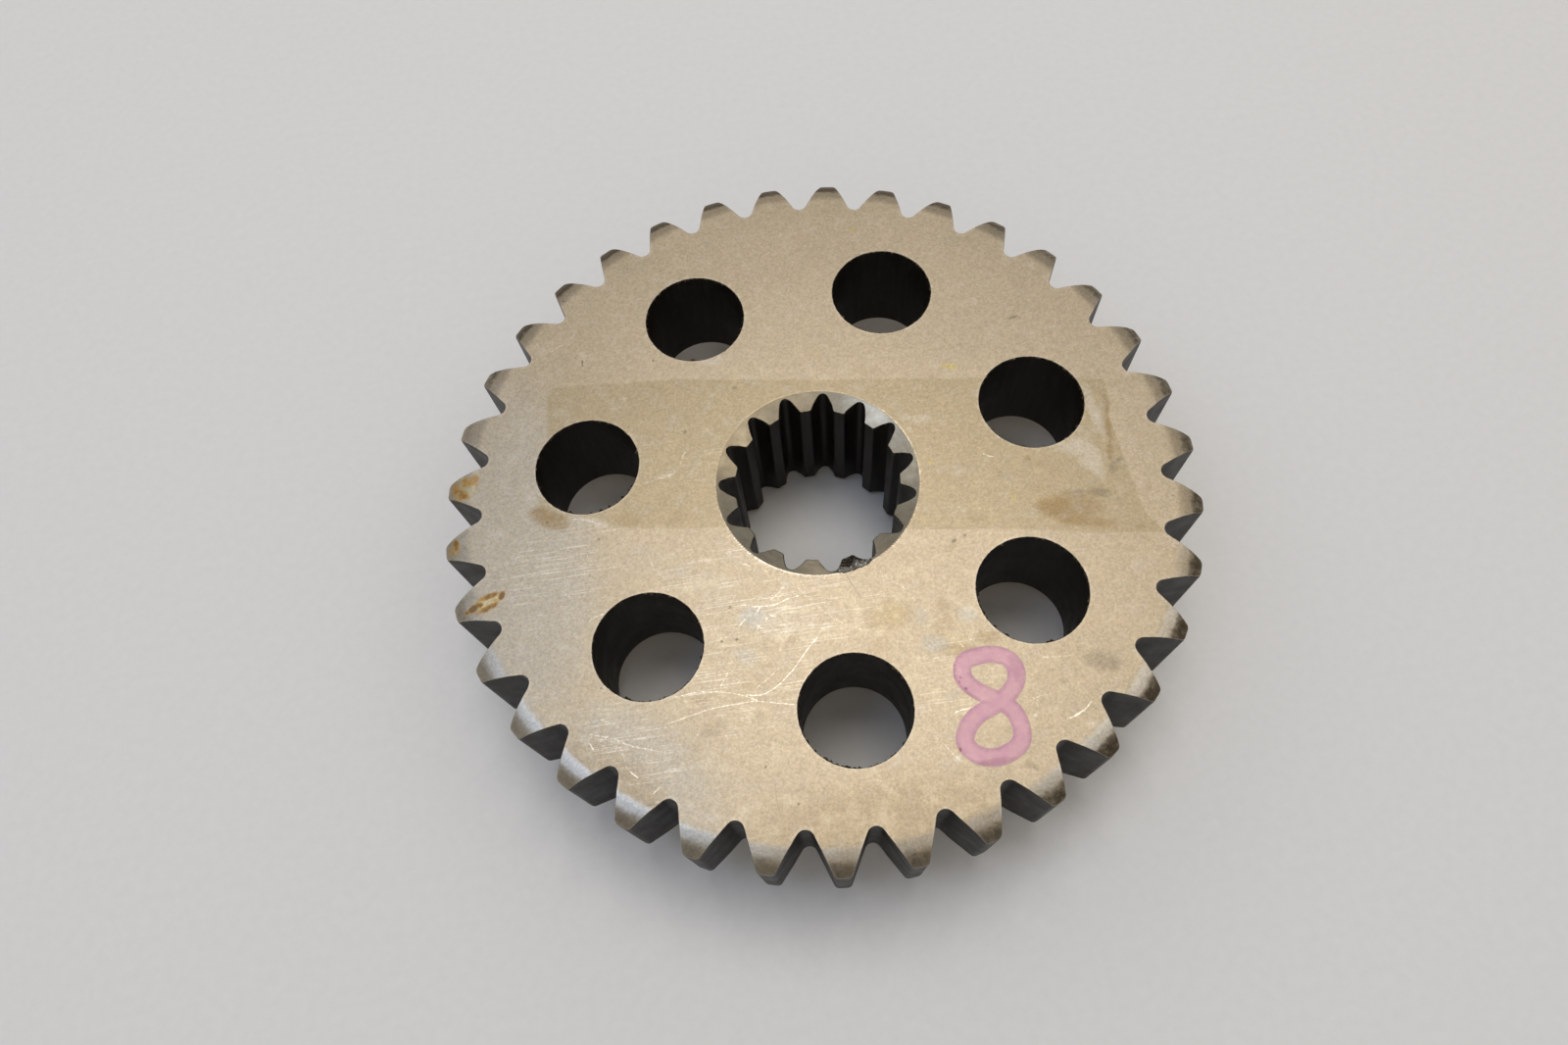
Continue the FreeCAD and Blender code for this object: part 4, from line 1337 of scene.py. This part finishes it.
def face_steel(colours):
    """Hardened steel, ground flat: dull warm grey with a fine grain, old handling marks, a strip
    where tape has been, and scratches that show bare bright metal; with painted highlights on
    the bevel's polished start and the chamfer's rim, painted shade with oil on the bevel's outer
    half, and a painted cool light on the left."""
    material, tree, shader = new_material("hardened_steel_ground")
    at = add(tree, "ShaderNodeTexCoord").outputs["Object"]
    mark = {
        name: add(tree, "ShaderNodeAttribute", attribute_name=name).outputs["Fac"]
        for name in MARKS
    }
    # Widths in millimetres. The grain of grinding and shot is about 0.1 mm; it
    # is drawn at 0.34 mm to show.
    noise_at = {}
    for name, width, detail, roughness in (
        ("cloud", 13.0, 3.0, 0.5), ("blotch", 3.0, 4.0, 0.6), ("fleck", 0.9, 3.0, 0.6),
        ("grain", 0.34, 2.0, 0.8),
    ):
        noise_at[name] = add(tree, "ShaderNodeTexNoise", {
            "Vector": at, "Scale": per(width), "Detail": detail, "Roughness": roughness,
        }).outputs["Fac"]
    mark["hair"] = hairlines(tree, at, noise_at["cloud"], mark["handled"])
    mark["speck"] = specks(tree, at)
    colour = blend(tree, tuple(colours.face), tuple(colours.face_warm),
                   noise_at["blotch"], 0.2, 0.8)
    for name in ("cloud", "fleck"):
        colour = lit(tree, colour, noise_at[name], 0.97, 1.03)

    # Each kind of mark, the painted highlights, shade and cool light among them: its colour, the
    # noise that breaks it up and how much, where it starts and is full, and how much it covers
    # at most.
    cover = {}
    for name, shade, pattern, part, low, high, most in (
        # A painted cool light on the left, and some grey patches.
        ("cool", linear("#A8A49B"), "fleck", 0.8, 0.4, 1.45, 0.8),
        ("tape", tuple(colours.tape), "blotch", 0.3, 0.58, 0.72, 0.7),
        ("pale", linear("#CBC4B8"), "fleck", 0.8, 0.4, 1.5, 0.6),
        ("brown", linear("#886E42"), "blotch", 1.0, 0.6, 1.8, 0.65),
        ("grey", linear("#5E5545"), "fleck", 0.8, 0.5, 1.5, 0.65),
        ("yellow", linear("#BFAE55"), "grain", 0.8, 0.5, 1.4, 0.6),
        ("hair", linear("#E2DBCD"), "grain", 0.6, 0.45, 1.2, 0.5),
        # Scratches, and the painted highlight on the chamfer's rim.
        ("scratch", linear("#EAE3D6"), "grain", 0.9, 0.65, 1.4, 0.65),
        ("speck", linear("#3B352B"), "grain", 0.0, 0.2, 0.8, 0.7),
        ("dark", linear("#2E271E"), "grain", 0.9, 0.65, 1.3, 0.7),
        ("edge", linear("#CFC5B2"), "fleck", 1.6, 1.35, 1.9, 0.3),
        # The bevel's polished start, with a painted highlight.
        ("shine", linear("#DEDDD7"), "blotch", 1.6, 0.7, 1.9, 0.65),
        # Painted shade with some oil on the bevel's outer half, and oil in the break.
        ("oil", linear("#5F5747"), "fleck", 0.9, 0.5, 1.6, 0.65),
        ("dirt", linear("#50402A"), "fleck", 1.2, 0.85, 1.55, 0.8),
        ("rust_film", linear("#BFB28C"), "fleck", 1.2, 0.75, 1.5, 0.75),
    ):
        colour, cover[name] = layer(
            tree, colour, shade, mark[name], noise_at[pattern], part, low, high, most
        )
    colour = lit(tree, colour, noise_at["grain"], 0.82, 1.18)

    # Rust: ragged, ochre where it is thin and brown where it is thick.
    rust_tone, _ = layer(tree, tuple(colours.rust), linear("#74531D"), mark["rust"],
                         noise_at["fleck"], 1.2, 1.35, 1.7)
    colour, rusty = layer(tree, colour, rust_tone, mark["rust"],
                          noise_at["fleck"], 1.2, 0.88, 1.5, 0.85)

    # Marker paint: thin in the middle of the stroke, where the steel shines
    # through, and darker where it has pooled along its edges and in drops.
    paint_tone, _ = layer(tree, tuple(colours.paint_edge), tuple(colours.paint),
                          mark["paint"], noise_at["grain"], 0.16, 0.58, 0.95)
    paint_tone = blend(tree, paint_tone, linear("#8A4266"), mark["drop"], 0.1, 0.9, 0.8)
    painted = ragged(tree, mark["paint"], noise_at["grain"], 0.16, 0.54, 0.62)
    thin = add(tree, "ShaderNodeMapRange", {
        "Value": noise_at["fleck"], "From Min": 0.35, "From Max": 0.65,
        "To Min": 0.62, "To Max": 0.9,
    }).outputs[0]
    film = add(tree, "ShaderNodeMath", {0: painted, 1: thin}, operation="MULTIPLY").outputs[0]
    colour = add(tree, "ShaderNodeMix", {0: film, 6: colour, 7: paint_tone},
                 data_type="RGBA").outputs[2]

    covered = add(tree, "ShaderNodeMath", {0: film, 1: rusty}, operation="MAXIMUM").outputs[0]
    metallic = add(tree, "ShaderNodeMapRange", {
        "Value": covered, "To Min": 0.9, "To Max": 0.1,
    }).outputs[0]
    roughness = add(tree, "ShaderNodeMapRange", {
        "Value": noise_at["blotch"], "From Min": 0.3, "From Max": 0.7,
        "To Min": 0.44, "To Max": 0.52,
    }).outputs[0]
    for name, change in (("scratch", -0.15), ("shine", -0.16), ("oil", -0.10)):
        roughness = add(tree, "ShaderNodeMath", {0: cover[name], 1: change, 2: roughness},
                        operation="MULTIPLY_ADD").outputs[0]
    height = add(tree, "ShaderNodeMath", {
        0: noise_at["fleck"], 1: 0.8, 2: noise_at["grain"]}, operation="MULTIPLY_ADD").outputs[0]
    height = add(tree, "ShaderNodeMath", {0: cover["scratch"], 1: -0.7, 2: height},
                 operation="MULTIPLY_ADD").outputs[0]
    height = add(tree, "ShaderNodeMath", {0: height, 1: film}, operation="ADD").outputs[0]
    bump = add(tree, "ShaderNodeBump", {
        "Height": height, "Strength": 0.3, "Distance": 0.03 * MM,
    }).outputs[0]
    fill(tree, shader, {
        "Base Color": colour, "Metallic": metallic, "Roughness": roughness, "Normal": bump,
    })
    return material


def turned_steel(colours):
    """Steel turned on a lathe and left as it came off the tool: fine rings round the
    axis, and smoother than the ground face, so it mirrors the lamps softly."""
    material, tree, shader = new_material("steel_turned")
    at = add(tree, "ShaderNodeTexCoord").outputs["Object"]
    flat = add(tree, "ShaderNodeVectorMath", {0: at, 1: (1, 1, 0)},
               operation="MULTIPLY").outputs[0]
    radius = add(tree, "ShaderNodeVectorMath", {0: flat}, operation="LENGTH").outputs["Value"]
    outwards = add(tree, "ShaderNodeCombineXYZ", {0: radius}).outputs[0]
    # Feed marks are about 0.1 mm apart; they are drawn at 0.2 mm to show.
    rings, blotch, grain = (
        add(tree, "ShaderNodeTexNoise", {
            "Vector": vector, "Scale": per(width), "Detail": detail, "Roughness": uneven,
        }).outputs["Fac"]
        for vector, width, detail, uneven in (
            (outwards, 0.2, 2.0, 0.5), (at, 1.8, 4.0, 0.6), (at, 0.3, 2.0, 0.6))
    )
    colour = blend(tree, tuple(colours.turned), linear("#AA9E88"), blotch, 0.35, 0.65)
    colour = lit(tree, colour, rings, 0.95, 1.04)
    colour = lit(tree, colour, grain, 0.94, 1.05)
    roughness = add(tree, "ShaderNodeMapRange", {
        "Value": blotch, "From Min": 0.3, "From Max": 0.7, "To Min": 0.27, "To Max": 0.37,
    }).outputs[0]
    relief = add(tree, "ShaderNodeMath", {0: rings, 1: grain}, operation="ADD").outputs[0]
    bump = add(tree, "ShaderNodeBump", {
        "Height": relief, "Strength": 0.2, "Distance": 0.02 * MM,
    }).outputs[0]
    fill(tree, shader, {
        "Base Color": colour, "Metallic": 0.95, "Roughness": roughness, "Normal": bump,
    })
    return material


def cut_steel(colours):
    """Steel cut by hob, drill and broach, never ground: streaked up and down, dark with old oil
    and with painted shade, so it shows as near black with a dull brown sheen."""
    material, tree, shader = new_material("steel_hobbed_oily")
    at = add(tree, "ShaderNodeTexCoord").outputs["Object"]
    edge = add(tree, "ShaderNodeAttribute", attribute_name="edge").outputs["Fac"]
    upright = add(tree, "ShaderNodeMapping", {
        "Vector": at, "Scale": (per(0.4), per(0.4), per(7.0)),
    }).outputs[0]
    streak, film, grain = (
        add(tree, "ShaderNodeTexNoise", {
            "Vector": vector, "Scale": scale, "Detail": detail,
        }).outputs["Fac"]
        for vector, scale, detail in (
            (upright, 1.0, 3.0), (at, per(3.0), 4.0), (at, per(0.5), 2.0))
    )
    colour = blend(tree, tuple(colours.cut), tuple(colours.cut_bare), film, 0.35, 0.65)
    colour = lit(tree, colour, streak, 0.6, 1.4)
    # The sharp edge is rubbed bare here and there.
    colour, _ = layer(tree, colour, linear("#8F7F66"), edge, grain, 1.4, 1.65, 1.95, 0.5)
    roughness = add(tree, "ShaderNodeMapRange", {
        "Value": film, "From Min": 0.3, "From Max": 0.7, "To Min": 0.38, "To Max": 0.55,
    }).outputs[0]
    bump = add(tree, "ShaderNodeBump", {
        "Height": streak, "Strength": 0.35, "Distance": 0.05 * MM,
    }).outputs[0]
    fill(tree, shader, {
        "Base Color": colour, "Metallic": 0.2, "Specular IOR Level": 0.2,
        "Roughness": roughness, "Normal": bump,
    })
    return material


def broken_steel(colours):
    """Hardened steel broken in one blow: bare grey crystal facets with painted glints, each
    lighter or darker, with brown oil soaked into the lower, older half."""
    material, tree, shader = new_material("hardened_steel_broken")
    at = add(tree, "ShaderNodeTexCoord").outputs["Object"]
    soaked = add(tree, "ShaderNodeAttribute", attribute_name="oil").outputs["Fac"]
    # Facets of the break are about 0.1 mm; they are drawn at 0.24 mm to show.
    facet = add(tree, "ShaderNodeTexVoronoi", {"Vector": at, "Scale": per(0.24)})
    facet_glint_and_relief = add(tree, "ShaderNodeSeparateColor", {0: facet.outputs["Color"]}).outputs[0]
    film = add(tree, "ShaderNodeTexNoise", {
        "Vector": at, "Scale": per(1.4), "Detail": 4.0, "Roughness": 0.65,
    }).outputs["Fac"]
    # Painted glints: each facet's colour is made lighter or darker; the same pattern bumps the
    # facets.
    colour = lit(tree, tuple(colours.broken)[:3], facet_glint_and_relief, 0.2, 1.5, 0.0, 1.0)
    colour, _ = layer(tree, colour, linear("#37291B"), soaked, film, 1.4, 0.8, 1.5, 0.9, 0.15)
    bump = add(tree, "ShaderNodeBump", {
        "Height": facet_glint_and_relief, "Strength": 0.8, "Distance": 0.06 * MM,
    }).outputs[0]
    fill(tree, shader, {
        "Base Color": colour, "Metallic": 0.9, "Roughness": 0.42, "Normal": bump,
    })
    return material


class SPROCKET_OT_make_ring(bpy.types.Operator):
    """Make the toothed ring with its holes, splined bore, break and finishes"""

    bl_idname = "sprocket.make_ring"
    bl_label = "Make ring"

    def execute(self, context):
        scene = context.scene
        ring = build_ring(in_mm(scene.sprocket_sizes), scene.sprocket_colours)
        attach(ring, "root")
        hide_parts("sprocket")
        return {"FINISHED"}


def aim_matrix(place, target, roll=0.0):
    """Matrix of a camera or lamp at a place, looking at a target."""
    ahead = (Vector(target) - Vector(place)).normalized()
    level = ahead.cross(Vector((0, 0, 1))).normalized()
    above = level.cross(ahead)
    c, s = math.cos(roll), math.sin(roll)
    right, top = c * level + s * above, c * above - s * level
    matrix = Matrix((right, top, -ahead)).transposed().to_4x4()
    matrix.translation = Vector(place)
    return matrix


def make_floor(colour):
    """A pale paper floor, a hair below the part so that the two faces don't meet."""
    mesh = bpy.data.meshes.new("floor")
    half = FLOOR_HALF
    mesh.from_pydata(
        [(-half, -half, 0), (half, -half, 0), (half, half, 0), (-half, half, 0)],
        [], [(0, 1, 2, 3)],
    )
    floor = bpy.data.objects.new("floor", mesh)
    floor.location.z = CAD_LOW.z - FLOOR_GAP
    bpy.context.scene.collection.objects.link(floor)
    material, tree, shader = new_material("paper_matt")
    at = add(tree, "ShaderNodeTexCoord").outputs["Object"]
    fibre = add(tree, "ShaderNodeTexNoise", {
        "Vector": at, "Scale": per(1.5), "Detail": 3.0,
    }).outputs["Fac"]
    paper = lit(tree, tuple(colour)[:3], fibre, 0.985, 1.015)
    fill(tree, shader, {"Base Color": paper, "Roughness": 0.9})
    mesh.materials.append(material)


def make_light(stage):
    """The even light of the room and the soft lamps."""
    world = bpy.data.worlds.new("studio")
    world.use_nodes = True
    tree = world.node_tree
    fill(tree, tree.nodes["Background"], {"Color": linear("#F2F4F8"), "Strength": stage.room})
    scene = bpy.context.scene
    scene.world = world
    for name, place, width, part, colour in SOFTBOXES:
        lamp = bpy.data.lights.new(name, "AREA")
        lamp.shape = "SQUARE"
        lamp.size = width
        lamp.energy = stage.key_power * part
        lamp.color = linear(colour)[:3]
        item = bpy.data.objects.new(name, lamp)
        item.matrix_world = aim_matrix(place, (0, 0, 0))
        scene.collection.objects.link(item)


def make_camera():
    """The camera, at the photo's place and angle."""
    camera = bpy.data.cameras.new("camera")
    camera.lens = LENS
    camera.sensor_width = SENSOR
    camera.clip_start = MM
    view = bpy.data.objects.new("camera", camera)
    turn, rise = math.radians(VIEW_TURN), math.radians(VIEW_RISE)
    back = Vector((
        math.cos(rise) * math.cos(turn), math.cos(rise) * math.sin(turn), math.sin(rise),
    ))
    target = Vector(AIM) * MM
    view.matrix_world = aim_matrix(
        target + back * VIEW_DISTANCE * MM, target, math.radians(VIEW_ROLL)
    )
    bpy.context.scene.collection.objects.link(view)
    return view


class SPROCKET_OT_make_stage(bpy.types.Operator):
    """Make the pale floor, the soft lamps and the camera"""

    bl_idname = "sprocket.make_stage"
    bl_label = "Make stage"

    def execute(self, context):
        scene = context.scene
        make_floor(scene.sprocket_stage.floor)
        make_light(scene.sprocket_stage)
        scene.camera = make_camera()
        scene.view_settings.view_transform = "Standard"
        return {"FINISHED"}


class SPROCKET_PT_panel(bpy.types.Panel):
    """Sizes, colours and makers of the sprocket"""

    bl_idname = "SPROCKET_PT_panel"
    bl_label = "Sprocket"
    bl_space_type = "VIEW_3D"
    bl_region_type = "UI"
    bl_category = "Sprocket"

    def draw(self, context):
        scene = context.scene
        for group in (scene.sprocket_sizes, scene.sprocket_colours, scene.sprocket_stage):
            box = self.layout.box()
            for name in group.__annotations__:
                box.prop(group, name)
        self.layout.operator(SPROCKET_OT_make_ring.bl_idname)
        self.layout.operator(SPROCKET_OT_make_stage.bl_idname)


CLASSES = (
    SprocketSizes, SprocketColours, SprocketStage,
    SPROCKET_OT_make_ring, SPROCKET_OT_make_stage, SPROCKET_PT_panel,
)


def register():
    """Registers the classes and gives each scene its settings."""
    for item in CLASSES:
        bpy.utils.register_class(item)
    bpy.types.Scene.sprocket_sizes = bpy.props.PointerProperty(type=SprocketSizes)
    bpy.types.Scene.sprocket_colours = bpy.props.PointerProperty(type=SprocketColours)
    bpy.types.Scene.sprocket_stage = bpy.props.PointerProperty(type=SprocketStage)


def unregister():
    """Takes the settings and the classes away again."""
    del bpy.types.Scene.sprocket_stage
    del bpy.types.Scene.sprocket_colours
    del bpy.types.Scene.sprocket_sizes
    for item in reversed(CLASSES):
        bpy.utils.unregister_class(item)


def main():
    """Makes the sprocket and its stage."""
    register()
    bpy.ops.sprocket.make_ring()
    bpy.ops.sprocket.make_stage()


if __name__ == "__main__":
    main()
